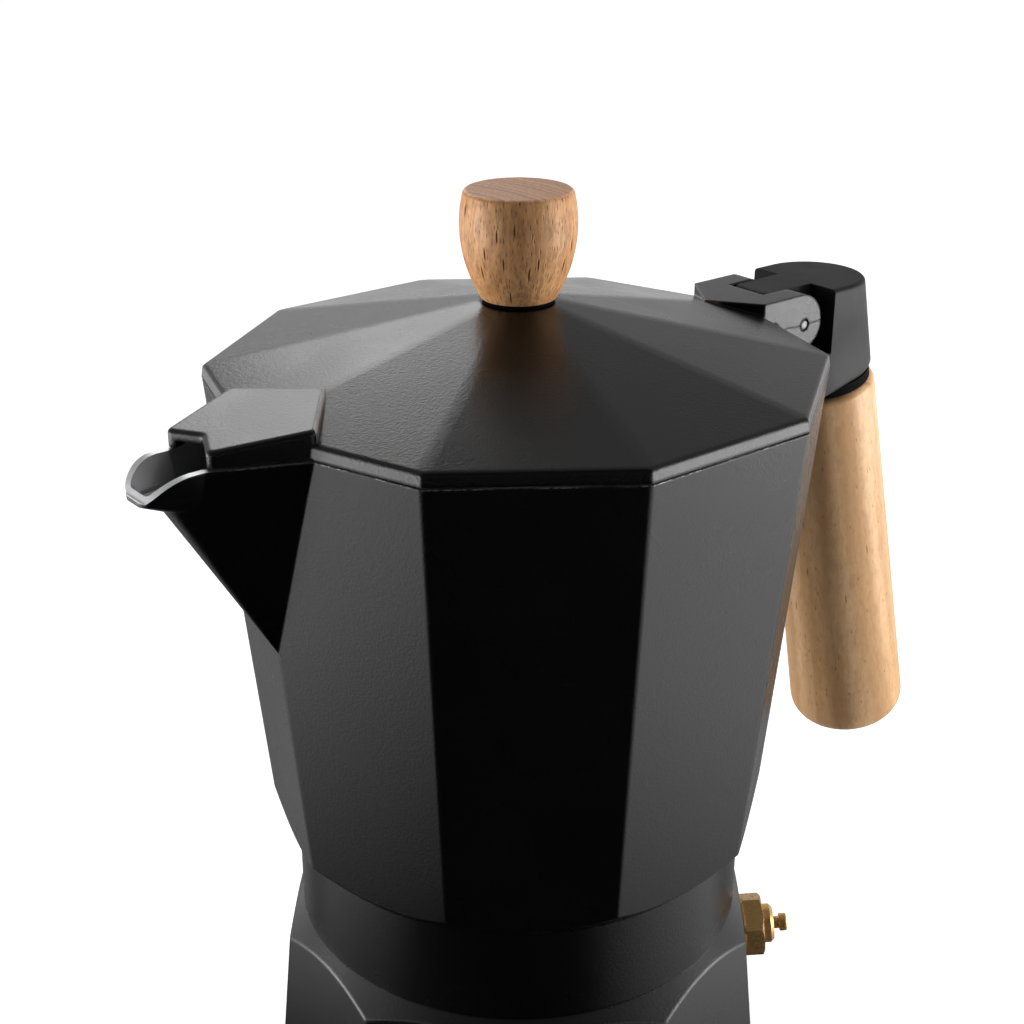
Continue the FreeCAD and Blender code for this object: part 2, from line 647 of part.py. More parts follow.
def make_lid():
    """Lid: low ten-sided roof, a kite-shaped cover over the spout and the forked hinge lug."""
    roof = loft("lid_roof", [
        decagon("lid_seam", "seam_radius", SEAM),
        decagon("lid_rim", "seam_radius - skirt_lean", "seam_height + lid_skirt"),
        decagon("lid_crown", "crown_radius", CROWN),
    ])
    rim_level = value("seam_height + lid_skirt")
    soft_ridges = filleted("lid_soft_ridges", roof, [
        ("ridge_round", lambda edge: is_upright(edge) and edge_levels(edge)[0] > rim_level - NEAR),
    ])
    soft_roof = filleted("lid_soft_roof", soft_ridges, [
        ("lid_round", lambda edge: lies_at(edge, rim_level)),
    ])
    kite = [
        (f"-{COVER_POINT}", "0"),
        (f"-{COVER_SHOULDER}", "cover_shoulder_half"),
        (f"-{COVER_FRONT}", "cover_front_half"),
        (f"-({COVER_FRONT} - cover_notch)", "0"),
        (f"-{COVER_FRONT}", "-cover_front_half"),
        (f"-{COVER_SHOULDER}", "-cover_shoulder_half"),
    ]
    side = [
        (f"-{COVER_POINT}", SEAM),
        (f"-{COVER_FRONT}", SEAM),
        (f"-{COVER_FRONT}", "seam_height + cover_front_height"),
        (f"-{COVER_POINT}", "seam_height + cover_back_height"),
    ]
    plan = slab("cover_plan", kite, None, "XY", SEAM, CROWN)
    profile = slab("cover_profile", side, None, "XZ", "0", "cover_shoulder_half + cover_plate")
    point = value(COVER_POINT)
    soft_plan = filleted("cover_plan_soft", plan, [
        ("cover_corner", lambda edge: is_upright(edge) and edge.Vertexes[0].X < -point - NEAR),
    ])
    cover = common("cover_block", soft_plan, profile)
    slope = value(f"(cover_back_height - cover_front_height) / ({COVER_FRONT} - {COVER_POINT})")
    front = value(COVER_FRONT)
    front_top = value("seam_height + cover_front_height")

    def on_cover_top(edge):
        return all(abs(v.Z - front_top - slope * (v.X + front)) < NEAR for v in edge.Vertexes)

    soft_cover = filleted("cover_soft", cover, [("cover_round", on_cover_top)])
    lug_plan = slab(
        "lug_plan",
        [
            (LUG_POINT, "0"),
            (LUG_SHOULDER, "-lug_half"),
            (f"{PIN_REACH} + knuckle_radius * 2", "-lug_half"),
            (f"{PIN_REACH} + knuckle_radius * 2", "lug_half"),
            (LUG_SHOULDER, "lug_half"),
        ],
        None, "XY", f"{PIN_LEVEL} - knuckle_radius * 2", CROWN,
    )
    lug_top = "seam_height + lug_top"
    lug_side = slab(
        "lug_side",
        [
            (LUG_POINT, "seam_height + lid_gap"),
            (LUG_NECK, "seam_height + lid_gap"),
            (f"{PIN_REACH} - knuckle_radius * cos(45)", f"{PIN_LEVEL} - knuckle_radius * sin(45)"),
            (f"{PIN_REACH} + knuckle_radius", PIN_LEVEL),
            (f"{PIN_REACH} - pin_radius / 2", lug_top),
            (LUG_POINT, lug_top),
        ],
        {2: "knuckle_radius", 3: "lug_top + pin_drop"}, "XZ", "0", "lug_half",
    )
    lug = common("lug_block", lug_plan, lug_side)
    whole = fuse("lid_whole", [soft_roof, soft_cover, lug])
    inside = f"lid_wall / {COS}"
    hollow = loft("lid_hollow", [
        decagon("lid_hollow_foot", f"seam_radius - {inside}", "seam_height - lid_skirt"),
        decagon(
            "lid_hollow_rim", f"seam_radius - skirt_lean - {inside}", "seam_height + lid_skirt - lid_wall",
        ),
        decagon("lid_hollow_crown", "crown_radius", CROWN_INSIDE),
    ])
    cover_slot = slab(
        "cover_slot_plan",
        [
            (f"-({COVER_POINT} + cover_plate * 2)", "0"),
            (f"-{COVER_SHOULDER}", "cover_shoulder_half - lid_wall"),
            (f"-{COVER_FRONT}", "cover_front_half - lid_wall"),
            (f"-({COVER_FRONT} + cover_plate)", "cover_front_half - lid_wall"),
            (f"-({COVER_FRONT} + cover_plate)", "-(cover_front_half - lid_wall)"),
            (f"-{COVER_FRONT}", "-(cover_front_half - lid_wall)"),
            (f"-{COVER_SHOULDER}", "-(cover_shoulder_half - lid_wall)"),
        ],
        None, "XY", "(seam_height - lid_skirt)", CROWN,
    )
    slot_side = slab(
        "cover_slot_profile",
        [
            (f"-{COVER_POINT}", "seam_height - lid_skirt"),
            (f"-({COVER_FRONT} + cover_plate)", "seam_height - lid_skirt"),
            (f"-({COVER_FRONT} + cover_plate)", "seam_height + cover_front_height - cover_plate"),
            (f"-{COVER_POINT}", "seam_height + cover_back_height - cover_plate"),
        ],
        None, "XZ", "0", "cover_shoulder_half",
    )
    cover_hollow = common("cover_hollow", cover_slot, slot_side)
    fork = slab(
        "lug_fork",
        [
            (f"{TONGUE_FRONT} - lug_front_gap", CROWN),
            (f"{TONGUE_FRONT} - lug_front_gap", "seam_height + lug_top - lug_plate"),
            (f"{LUG_NECK} - tongue_gap", "seam_height + lug_top - lug_plate"),
            (f"{LUG_NECK} - tongue_gap", f"{PIN_LEVEL} - knuckle_radius * 2"),
            (f"{PIN_REACH} + knuckle_radius * 2", f"{PIN_LEVEL} - knuckle_radius * 2"),
            (f"{PIN_REACH} + knuckle_radius * 2", CROWN),
        ],
        None, "XZ", "0", "tongue_half + tongue_gap",
    )
    pin_hole = cross_hole(
        "lug_pin_hole", "pin_radius + pin_clearance", PIN_REACH, PIN_LEVEL,
        "-lug_half * 2", "lug_half * 2",
    )
    screw_hole = cylinder("lid_screw_hole", "knob_screw_radius + rod_gap", SEAM, f"{CROWN} + lid_wall")
    named(cut("lid_solid", whole, [hollow, cover_hollow, fork, pin_hole, screw_hole]), "lid")


def make_knob():
    """Turned wooden knob, the thin ring under it, and the screw and washer that hold it from inside."""
    bore = "(knob_screw_radius + rod_gap)"
    lower = "((knob_radius - knob_foot_radius)^2 + knob_widest^2) / (2 * (knob_radius - knob_foot_radius))"
    upper = (
        "((knob_radius - knob_top_radius)^2 + (knob_height - knob_widest)^2)"
        " / (2 * (knob_radius - knob_top_radius))"
    )
    knob = turned("knob", [
        (bore, "0"),
        ("knob_foot_radius", "0"),
        ("knob_radius", "knob_widest"),
        ("knob_top_radius", "knob_height"),
        ("0", "knob_height"),
        ("0", "knob_screw_grip"),
        (bore, "knob_screw_grip"),
    ], {1: f"({lower})", 2: f"({upper})"})
    top = value("knob_height")
    rounded_edges(knob, "knob_edge", "knob_edge_round", lambda edge: lies_at(edge, top))
    bind(knob, "Placement.Base.z", KNOB_FOOT)
    ring = turned("knob_spacer", [
        (bore, "0"),
        ("spacer_radius", "0"),
        ("spacer_radius", "spacer_thickness"),
        (bore, "spacer_thickness"),
    ])
    bind(ring, "Placement.Base.z", CROWN)
    washer = turned("knob_washer", [
        (bore, "-washer_thickness"),
        ("knob_screw_head_radius + washer_thickness", "-washer_thickness"),
        ("knob_screw_head_radius + washer_thickness", "0"),
        (bore, "0"),
    ])
    bind(washer, "Placement.Base.z", CROWN_INSIDE)
    reach = "(lid_wall + spacer_thickness + knob_screw_grip - rod_gap)"
    screw = turned("knob_screw", [
        ("0", "-(washer_thickness + knob_screw_head)"),
        (f"knob_screw_head_radius * {HEAD_SHARE}", "-(washer_thickness + knob_screw_head)"),
        ("knob_screw_head_radius", "-washer_thickness - knob_screw_head / 2"),
        ("knob_screw_head_radius", "-washer_thickness"),
        ("knob_screw_radius", "-washer_thickness"),
        ("knob_screw_radius", reach),
        ("0", reach),
    ])
    bind(screw, "Placement.Base.z", CROWN_INSIDE)


def lean_frame():
    """Frame of the grip: its origin is the grip's top centre and its Z axis runs up along the grip."""
    place = Vector(value(GRIP_REACH), 0, value("seam_height - grip_drop"))
    return Placement(place, Rotation(Vector(0, 1, 0), -value("grip_lean")))


def make_bracket():
    """Handle bracket: half-round back, arm to the pot, and the tongue between the arms of the lid's lug."""
    axis_shift = "tan(grip_lean) * (bracket_top + grip_drop)"
    core = doc.addObject("Part::Cylinder", "bracket_core")
    bind(core, "Radius", "bracket_radius")
    bind(core, "Height", "bracket_radius * 2 + grip_drop")
    core.Placement = lean_frame().multiply(Placement(Vector(0, 0, value("collar_length")), Rotation()))
    front = slab(
        "bracket_front",
        [
            ("seam_radius", ARM_TOP),
            (BRACKET_FACE, ARM_TOP),
            (BRACKET_FACE, f"{BRACKET_TOP} + bracket_radius"),
            ("seam_radius", f"{BRACKET_TOP} + bracket_radius"),
        ],
        None, "XZ", "0", "bracket_radius * 2",
    )
    back_half = cut("bracket_back", core, [front])
    back = f"({GRIP_REACH} - {axis_shift})"
    cheek = slab(
        "bracket_cheek",
        [
            (BRACKET_FACE, BRACKET_TOP),
            (back, BRACKET_TOP),
            (BRACKET_FOOT_REACH, BRACKET_FOOT),
            (BRACKET_FACE, ARM_FOOT),
        ],
        None, "XZ", "0", "bracket_radius",
    )
    arm_side = slab(
        "arm_side",
        [
            (ARM_FRONT, ARM_FOOT),
            (BRACKET_FACE, ARM_FOOT),
            (back, BRACKET_FOOT),
            (back, ARM_TOP),
            (ARM_FRONT, ARM_TOP),
        ],
        None, "XZ", "0", "bracket_radius",
    )
    arm_plan = slab(
        "arm_plan",
        [
            (ARM_FRONT, "-arm_front_half"),
            (ARM_SHOULDER, "-bracket_radius"),
            (back, "-bracket_radius"),
            (back, "bracket_radius"),
            (ARM_SHOULDER, "bracket_radius"),
            (ARM_FRONT, "arm_front_half"),
        ],
        None, "XY", f"({ARM_FOOT} - collar_length)", BRACKET_TOP,
    )
    arm = common("bracket_arm", arm_side, arm_plan)
    tongue = slab(
        "bracket_tongue",
        [
            (TONGUE_FRONT, f"{ARM_FOOT} + collar_length"),
            (back, f"{ARM_FOOT} + collar_length"),
            (back, BRACKET_TOP),
            (f"{TONGUE_FRONT} + tongue_round", BRACKET_TOP),
            (TONGUE_FRONT, f"{BRACKET_TOP} - tongue_round"),
        ],
        {3: "tongue_round"}, "XZ", "0", "tongue_half",
    )
    whole = fuse("bracket_whole", [back_half, cheek, arm, tongue])
    above = cylinder("bracket_above", f"{GRIP_REACH} * 2", BRACKET_TOP, f"{BRACKET_TOP} + grip_length")
    trimmed = cut("bracket_trimmed", whole, [above])
    top = value(BRACKET_TOP)
    foot = value(BRACKET_FOOT)
    foot_reach = value(BRACKET_FOOT_REACH)
    face = value(BRACKET_FACE)
    lean = value("tan(grip_lean)")

    def on_top_edge(edge):
        middle = edge.valueAt((edge.FirstParameter + edge.LastParameter) / 2)
        return lies_at(edge, top) and middle.x > face + NEAR

    def on_foot_edge(edge):
        middle = edge.valueAt((edge.FirstParameter + edge.LastParameter) / 2)
        return middle.x > foot_reach and abs(middle.z - foot - lean * (middle.x - foot_reach)) < NEAR

    soft = filleted("bracket_soft", trimmed, [
        ("bracket_round", on_top_edge),
        ("bracket_foot_round", on_foot_edge),
    ])
    socket = slab(
        "bracket_socket",
        [
            ("seam_radius - pot_wall * 2", "seam_height - tenon_foot - tenon_gap"),
            (f"{TENON_REACH} + tenon_gap", "seam_height - tenon_foot - tenon_gap"),
            (f"{TENON_REACH} + tenon_gap", "seam_height - tenon_top + tenon_gap"),
            ("seam_radius - pot_wall * 2", "seam_height - tenon_top + tenon_gap"),
        ],
        None, "XZ", "0", "tenon_half + tenon_gap",
    )
    rod = doc.addObject("Part::Cylinder", "bracket_rod_hole")
    bind(rod, "Radius", "rod_radius + rod_gap")
    bind(rod, "Height", "collar_length + rod_grip")
    rod.Placement = lean_frame()
    pin_hole = cross_hole(
        "bracket_pin_hole", "pin_radius + pin_clearance", PIN_REACH, PIN_LEVEL,
        "-bracket_radius", "bracket_radius",
    )
    level = "seam_height - cross_screw_drop"
    screw_hole = cross_hole(
        "bracket_screw_hole", "cross_screw_radius + rod_gap", CROSS_REACH, level,
        "-cross_screw_end", "bracket_radius",
    )
    head_hole = cross_hole(
        "bracket_head_hole", "cross_head_radius + rod_gap", CROSS_REACH, level,
        "cross_head_seat", "bracket_radius + cross_head",
    )
    solid = cut("bracket_solid", soft, [socket, rod, pin_hole, screw_hole, head_hole])
    named(solid, "handle_bracket")


def make_hinge_and_screws():
    """Hinge pin through lug and tongue, and the cross screw that holds the bracket on the pot's tenon."""
    rod = cross_hole("pin_rod", "pin_radius", PIN_REACH, PIN_LEVEL, "-lug_half", "lug_half")
    doc.recompute()
    pin = filleted("pin_domed", rod, [("pin_end_round", lambda edge: len(edge.Vertexes) == 1)])
    named(pin, "hinge_pin")
    level = "seam_height - cross_screw_drop"
    shank = cross_hole(
        "cross_screw_shank", "cross_screw_radius", CROSS_REACH, level,
        "-cross_screw_end + rod_gap", "cross_head_seat",
    )
    head = cross_hole(
        "cross_screw_head", "cross_head_radius", CROSS_REACH, level,
        "cross_head_seat", "cross_head_seat + cross_head",
    )
    named(fuse("cross_screw", [shank, head]), "bracket_screw")


def make_grip():
    """Wooden grip on a long screw, with a dark collar above it and a washer under the screw's head."""
    frame = lean_frame()
    bore = "(rod_radius + rod_gap)"
    grip = turned("handle_grip", [
        (bore, "0"),
        ("grip_top_radius", "0"),
        ("grip_end_radius", "-grip_length"),
        ("rod_bore_radius", "-grip_length"),
        ("rod_bore_radius", "rod_bore_depth - grip_length"),
        (bore, "rod_bore_depth - grip_length"),
    ])
    end = value("-grip_length")
    end_radius = value("grip_end_radius")
    top_radius = value("grip_top_radius")
    rounded_edges(grip, "grip_end_edge", "grip_end_round",
                  lambda edge: lies_at(edge, end) and abs(edge.Curve.Radius - end_radius) < NEAR)
    rounded_edges(grip, "grip_top_edge", "grip_edge_round",
                  lambda edge: lies_at(edge, 0.0) and abs(edge.Curve.Radius - top_radius) < NEAR)
    collar = turned("grip_collar", [
        (bore, "0"), ("collar_radius", "0"), ("collar_radius", "collar_length"), (bore, "collar_length"),
    ])
    seat = "(rod_bore_depth - grip_length)"
    washer = turned("handle_washer", [
        (bore, f"{seat} - washer_thickness"),
        ("rod_head_radius", f"{seat} - washer_thickness"),
        ("rod_head_radius", seat),
        (bore, seat),
    ])
    head_top = f"({seat} - washer_thickness)"
    screw = turned("handle_screw", [
        ("0", f"{head_top} - rod_head"),
        (f"rod_head_radius * {HEAD_SHARE}", f"{head_top} - rod_head"),
        ("rod_head_radius", f"{head_top} - rod_head / 2"),
        ("rod_head_radius", head_top),
        ("rod_radius", head_top),
        ("rod_radius", "collar_length + rod_grip - rod_gap"),
        ("0", "collar_length + rod_grip - rod_gap"),
    ])
    for piece in (grip, collar, washer, screw):
        piece.Placement = frame


def valve_frame():
    """Frame of the safety valve: its origin is on a boiler facet and its Z axis is that facet's normal."""
    slope = value(f"({BOILER_FOOT} - {BOILER_TOP}) * {COS} / boiler_height")
    direction = value("boiler_turn") + HALF_FACET - 2 * 2 * HALF_FACET
    level = value(VALVE_LEVEL)
    reach = value(f"{boiler_radius(VALVE_LEVEL)} * {COS}")
    place = Rotation(Vector(0, 0, 1), direction).multVec(Vector(reach, 0, level))
    return Placement(place, Rotation(direction, 90 - math.degrees(math.atan(slope)), 0))


def make_boiler():
    """Lower chamber: ten facets cut by a round shoulder, a threaded neck and a hollow inside."""
    facets = loft("boiler_facets", [
        decagon("boiler_foot", BOILER_FOOT, "0", "boiler_turn"),
        decagon("boiler_top", BOILER_TOP, "boiler_height", "boiler_turn"),
    ])
    soft = filleted("boiler_soft", facets, [("edge_round", is_upright)])
    reach = f"({BOILER_FOOT} - {SHOULDER})"
    bound = turned("boiler_bound", [
        ("0", "0"),
        (f"{BOILER_FOOT} * {COS} - boiler_chamfer", "0"),
        (BOILER_FOOT, f"{BOILER_FOOT} * (1 - {COS}) + boiler_chamfer"),
        (BOILER_FOOT, f"boiler_height - {reach}"),
        (SHOULDER, "boiler_height"),
        ("0", "boiler_height"),
    ])
    shell = common("boiler_shell", soft, bound)
    neck = cylinder("boiler_neck", NECK, "boiler_height - boiler_wall", NECK_TOP)
    whole = fuse("boiler_whole", [shell, neck])
    floor_radius = f"({boiler_radius('boiler_floor')} * {COS} - boiler_wall)"
    shoulder_level = f"(boiler_height - ({BOILER_TOP} - {SHOULDER}) - boiler_wall)"
    hollow = turned("boiler_hollow", [
        ("0", "boiler_floor"),
        (f"{floor_radius} - boiler_floor", "boiler_floor"),
        (floor_radius, "boiler_floor * 2"),
        (f"{boiler_radius(shoulder_level)} * {COS} - boiler_wall", shoulder_level),
        (NECK_BORE, "boiler_height - boiler_wall / 2"),
        (NECK_BORE, f"{NECK_TOP} + neck_wall"),
        ("0", f"{NECK_TOP} + neck_wall"),
    ])
    hole = doc.addObject("Part::Cylinder", "boiler_valve_hole")
    bind(hole, "Radius", "valve_thread_radius + valve_thread_fit")
    bind(hole, "Height", "valve_depth * 3")
    hole.Placement = valve_frame().multiply(Placement(Vector(0, 0, -value("valve_depth * 2")), Rotation()))
    named(cut("boiler_solid", whole, [hollow, hole]), "boiler")


def make_valve():
    """Safety valve: hexagon body with its washer, seat, sprung plunger and seal."""
    body = turned("valve_body", [
        ("valve_chamber_radius", VALVE_INSIDE),
        ("valve_thread_radius", VALVE_INSIDE),
        ("valve_thread_radius", "valve_washer_thickness"),
        ("valve_boss_radius", "valve_washer_thickness"),
        ("valve_boss_radius", f"{VALVE_TOP} - valve_boss_chamfer"),
        ("valve_boss_radius - valve_boss_chamfer", VALVE_TOP),
        ("valve_stem_radius + valve_stem_fit", VALVE_TOP),
        ("valve_stem_radius + valve_stem_fit", VALVE_SHOULDER),
        ("valve_chamber_radius", VALVE_SHOULDER),
    ])
    hexagon = new_sketch(body, "valve_hexagon", "XY_Plane")
    bind(hexagon, "AttachmentOffset.Base.z", "valve_washer_thickness")
    corner = "valve_hex_flats / 2 / cos(30)"
    corners = [
        (f"{corner} * cos({60 * k + HEX_TURN})", f"{corner} * sin({60 * k + HEX_TURN})")
        for k in range(6)
    ]
    outline(hexagon, corners)
    pad = body.newObject("PartDesign::Pad", "valve_hex_pad")
    pad.Profile = hexagon
    bind(pad, "Length", "valve_hex")
    doc.recompute()
    bevel = new_sketch(body, "valve_hex_bevel", "XZ_Plane")
    beyond = f"({corner} + valve_boss_chamfer)"
    outline(bevel, [
        ("valve_hex_flats / 2", VALVE_HEX_TOP),
        (beyond, f"{VALVE_HEX_TOP} - ({beyond} - valve_hex_flats / 2) * tan(valve_hex_chamfer)"),
        (beyond, VALVE_HEX_TOP),
    ])
    groove = body.newObject("PartDesign::Groove", "valve_hex_bevel_cut")
    groove.Profile = bevel
    groove.ReferenceAxis = (bevel, ["V_Axis"])
    groove.Angle = 360
    doc.recompute()
    bore = new_sketch(body, "valve_bore", "XY_Plane")
    bind(bore, "AttachmentOffset.Base.z", VALVE_SHOULDER)
    ring = bore.addGeometry(Part.Circle(Vector(), Vector(0, 0, 1), value("valve_chamber_radius")), False)
    bore.addConstraint(Sketcher.Constraint("Coincident", ring, 3, -1, 1))
    made = bore.addConstraint(Sketcher.Constraint("Radius", ring, value("valve_chamber_radius")))
    bind(bore, f"Constraints[{made}]", "valve_chamber_radius")
    pocket = body.newObject("PartDesign::Pocket", "valve_chamber")
    pocket.Profile = bore
    bind(pocket, "Length", f"{VALVE_SHOULDER} + valve_depth")
    doc.recompute()
    washer = turned("valve_washer", [
        ("valve_thread_radius + valve_thread_fit", "0"),
        ("valve_washer_radius", "0"),
        ("valve_washer_radius", "valve_washer_thickness"),
        ("valve_thread_radius + valve_thread_fit", "valve_washer_thickness"),
    ])
    seat = turned("valve_seat", [
        ("valve_inlet_radius", VALVE_INSIDE),
        ("valve_chamber_radius", VALVE_INSIDE),
        ("valve_chamber_radius", VALVE_SEAT),
        ("valve_inlet_radius", VALVE_SEAT),
    ])
    seal = turned("valve_seal", [
        ("0", VALVE_SEAT),
        ("valve_disc_radius", VALVE_SEAT),
        ("valve_disc_radius", VALVE_DISC),
        ("0", VALVE_DISC),
    ])
    stem_end = f"({VALVE_TOP} + valve_stem_out)"
    plunger = turned("valve_plunger", [
        ("0", VALVE_DISC),
        ("valve_disc_radius", VALVE_DISC),
        ("valve_disc_radius", f"{VALVE_DISC} + valve_disc"),
        ("valve_stem_radius", f"{VALVE_DISC} + valve_disc"),
        ("valve_stem_radius", stem_end),
        ("valve_head_radius", stem_end),
        ("valve_head_radius", f"{stem_end} + valve_head"),
        ("0", f"{stem_end} + valve_head"),
    ])
    top = value(f"{stem_end} + valve_head")
    rounded_edges(plunger, "valve_head_edge", "valve_head / 4", lambda edge: lies_at(edge, top))
    frame = valve_frame()
    for piece in (body, washer, seat, seal, plunger):
        piece.Placement = frame
    make_spring(frame)


def make_spring(frame):
    """Coil spring of the valve: quarter turns of wire between the plunger's disc and the body's shoulder."""
    wire = value("spring_wire")
    radius = value("spring_radius")
    low = value(f"{VALVE_DISC} + valve_disc + spring_wire / 2 + spring_end_gap")
    high = value(f"{VALVE_SHOULDER} - spring_wire / 2 - spring_end_gap")
    quarters = SPRING_TURNS * 4

    def at(step):
        angle = math.radians(90 * step)
        level = low + (high - low) * step / quarters
        return Vector(radius * math.cos(angle), radius * math.sin(angle), level)

    arcs = [Part.Arc(at(k), at(k + 0.5), at(k + 1)).toShape() for k in range(quarters)]
    path = Part.Wire(arcs)
    along = arcs[0].tangentAt(arcs[0].FirstParameter)
    ring = Part.Wire(Part.Circle(at(0), along, wire / 2).toShape())
    spring = doc.addObject("Part::Feature", "valve_spring")
    spring.Shape = path.makePipeShell([ring], True, False)
    spring.Placement = frame
    named(spring, "valve_spring")
    gap = (high - low) / SPRING_TURNS - wire
    print(f"valve spring: clear gap between turns {gap:.2f} mm")


def make_funnel():
    """Coffee basket with its flange and dip tube, made of sheet."""
    cone_inside = f"({BASKET_WALL} - sheet_wall - disc_ledge)"
    tube_inside = "(tube_radius - sheet_wall)"
    foot = "(boiler_floor + tube_clearance)"
    turned("funnel", [
        (tube_inside, foot),
        ("tube_radius", foot),
        ("tube_radius", f"{LEDGE} - funnel_slope - sheet_wall"),
        (BASKET_WALL, f"{LEDGE} - sheet_wall"),
        (BASKET_WALL, NECK_TOP),
        (FLANGE, NECK_TOP),
        (FLANGE, f"{NECK_TOP} + flange_thickness"),
        (f"{BASKET_WALL} - sheet_wall", f"{NECK_TOP} + flange_thickness"),
        (f"{BASKET_WALL} - sheet_wall", LEDGE),
        (cone_inside, LEDGE),
        (tube_inside, f"{LEDGE} - funnel_slope"),
    ])


def perforated(name, radius, thickness, level, rings):
    """Round plate with rings of small holes about one in the middle."""
    plate = turned(name, [("0", "0"), (radius, "0"), (radius, thickness), ("0", thickness)])
    for ring, count in enumerate(rings, start=1):
        sketch = new_sketch(plate, f"{name}_hole_{ring}", "XY_Plane")
        spot = Vector(value(f"hole_ring_step * {ring}"), 0, 0)
        circle = sketch.addGeometry(Part.Circle(spot, Vector(0, 0, 1), value("hole_radius")), False)
        sketch.addConstraint(Sketcher.Constraint("PointOnObject", circle, 3, -1))
        made = sketch.addConstraint(Sketcher.Constraint("DistanceX", -1, 1, circle, 3, spot.x))
        bind(sketch, f"Constraints[{made}]", f"hole_ring_step * {ring}")
        made = sketch.addConstraint(Sketcher.Constraint("Radius", circle, value("hole_radius")))
        bind(sketch, f"Constraints[{made}]", "hole_radius")
        hole = plate.newObject("PartDesign::Pocket", f"{name}_pocket_{ring}")
        hole.Profile = sketch
        hole.Reversed = True
        bind(hole, "Length", f"{thickness} * 2")
        doc.recompute()
        pattern = plate.newObject("PartDesign::PolarPattern", f"{name}_ring_{ring}")
        pattern.Originals = [hole]
        pattern.Axis = (sketch, ["N_Axis"])
        pattern.Angle = 360
        pattern.Occurrences = count
        plate.Tip = pattern
        doc.recompute()
    bind(plate, "Placement.Base.z", level)


def make_filter_stack():
    """Funnel disc, gasket and upper filter plate between boiler and pot."""
    disc_radius = f"({BASKET_WALL} - sheet_wall - plate_gap)"
    plate_foot = f"({CEILING} - plate_thickness)"
    perforated("funnel_disc", disc_radius, "disc_thickness", LEDGE, LOWER_HOLE_RINGS)
    perforated("filter_plate", PLATE, "plate_thickness", plate_foot, UPPER_HOLE_RINGS)
    gasket = turned("gasket", [
        (GASKET_BORE, "0"),
        (NECK, "0"),
        (NECK, "gasket_thickness"),
        (f"{PLATE} + plate_gap", "gasket_thickness"),
        (f"{PLATE} + plate_gap", "gasket_thickness - plate_thickness"),
        (GASKET_BORE, "gasket_thickness - plate_thickness"),
    ])
    bind(gasket, "Placement.Base.z", f"{CEILING} - gasket_thickness")


def make_column():
    """Riser column in the pot's floor, closed at the top, with outlets on two sides."""
    foot = f"({CEILING} + bell_height)"
    top = f"({POT_FLOOR} + column_height)"
    column = turned("riser_column", [
        ("column_spigot_radius - column_wall", foot),
        ("column_spigot_radius", foot),
        ("column_spigot_radius", POT_FLOOR),
        ("column_radius", POT_FLOOR),
        ("column_radius", f"{POT_FLOOR} + pot_floor"),
        ("column_top_radius", f"{top} - column_wall"),
        ("column_top_radius - column_wall", top),
        ("0", top),
        ("0", f"{top} - column_wall"),
        ("column_top_radius - column_wall", f"{top} - column_wall * 2"),
    ])
    outlet = new_sketch(column, "column_outlet", "XZ_Plane")
    outline(outlet, [
        ("-outlet_width / 2", f"{top} - outlet_drop - outlet_height"),
        ("outlet_width / 2", f"{top} - outlet_drop - outlet_height"),
        ("outlet_width / 2", f"{top} - outlet_drop"),
        ("-outlet_width / 2", f"{top} - outlet_drop"),
    ])
    pocket = column.newObject("PartDesign::Pocket", "column_outlets")
    pocket.Profile = outlet
    pocket.Midplane = True
    bind(pocket, "Length", "column_radius * 3")
    doc.recompute()


NODES = (
    "boiler", "valve_body", "valve_washer", "valve_plunger", "valve_seal", "valve_seat", "valve_spring",
    "funnel", "funnel_disc", "gasket", "filter_plate", "collector", "riser_column",
    "lid", "knob", "knob_spacer", "knob_washer", "knob_screw",
    "hinge_pin", "handle_bracket", "bracket_screw",
    "grip_collar", "handle_grip", "handle_washer", "handle_screw",
)


def check_and_write():
    """Stop on any failed object, then write each piece to its own file."""
    doc.recompute()
    failed = [thing.Name for thing in doc.Objects if {"Invalid", "Error"} & set(thing.State)]
    if failed:
        raise RuntimeError(f"objects failed: {failed}")
    os.makedirs("parts", exist_ok=True)
    for node in NODES:
        pieces = doc.getObjectsByLabel(node)
        if len(pieces) != 1:
            raise RuntimeError(f"{node}: {len(pieces)} objects have this label")
        shape = pieces[0].Shape
        if shape.isNull() or not shape.isValid() or len(shape.Solids) != 1:
            raise RuntimeError(f"{node}: shape is null, not valid or not one solid")
        shape.exportStep(f"parts/{node}.step")
        print(f"{node}: {shape.Volume / 1000:.2f} cm3")


make_boiler()
make_valve()
make_funnel()
make_filter_stack()
make_collector()
make_column()
make_lid()
make_knob()
make_bracket()
make_hinge_and_screws()
make_grip()
check_and_write()
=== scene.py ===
"""The look of a ten-sided stovetop coffee maker: finishes, spring, thread, floor, lights and camera."""
import json
import math

import bpy
from mathutils import Matrix, Vector


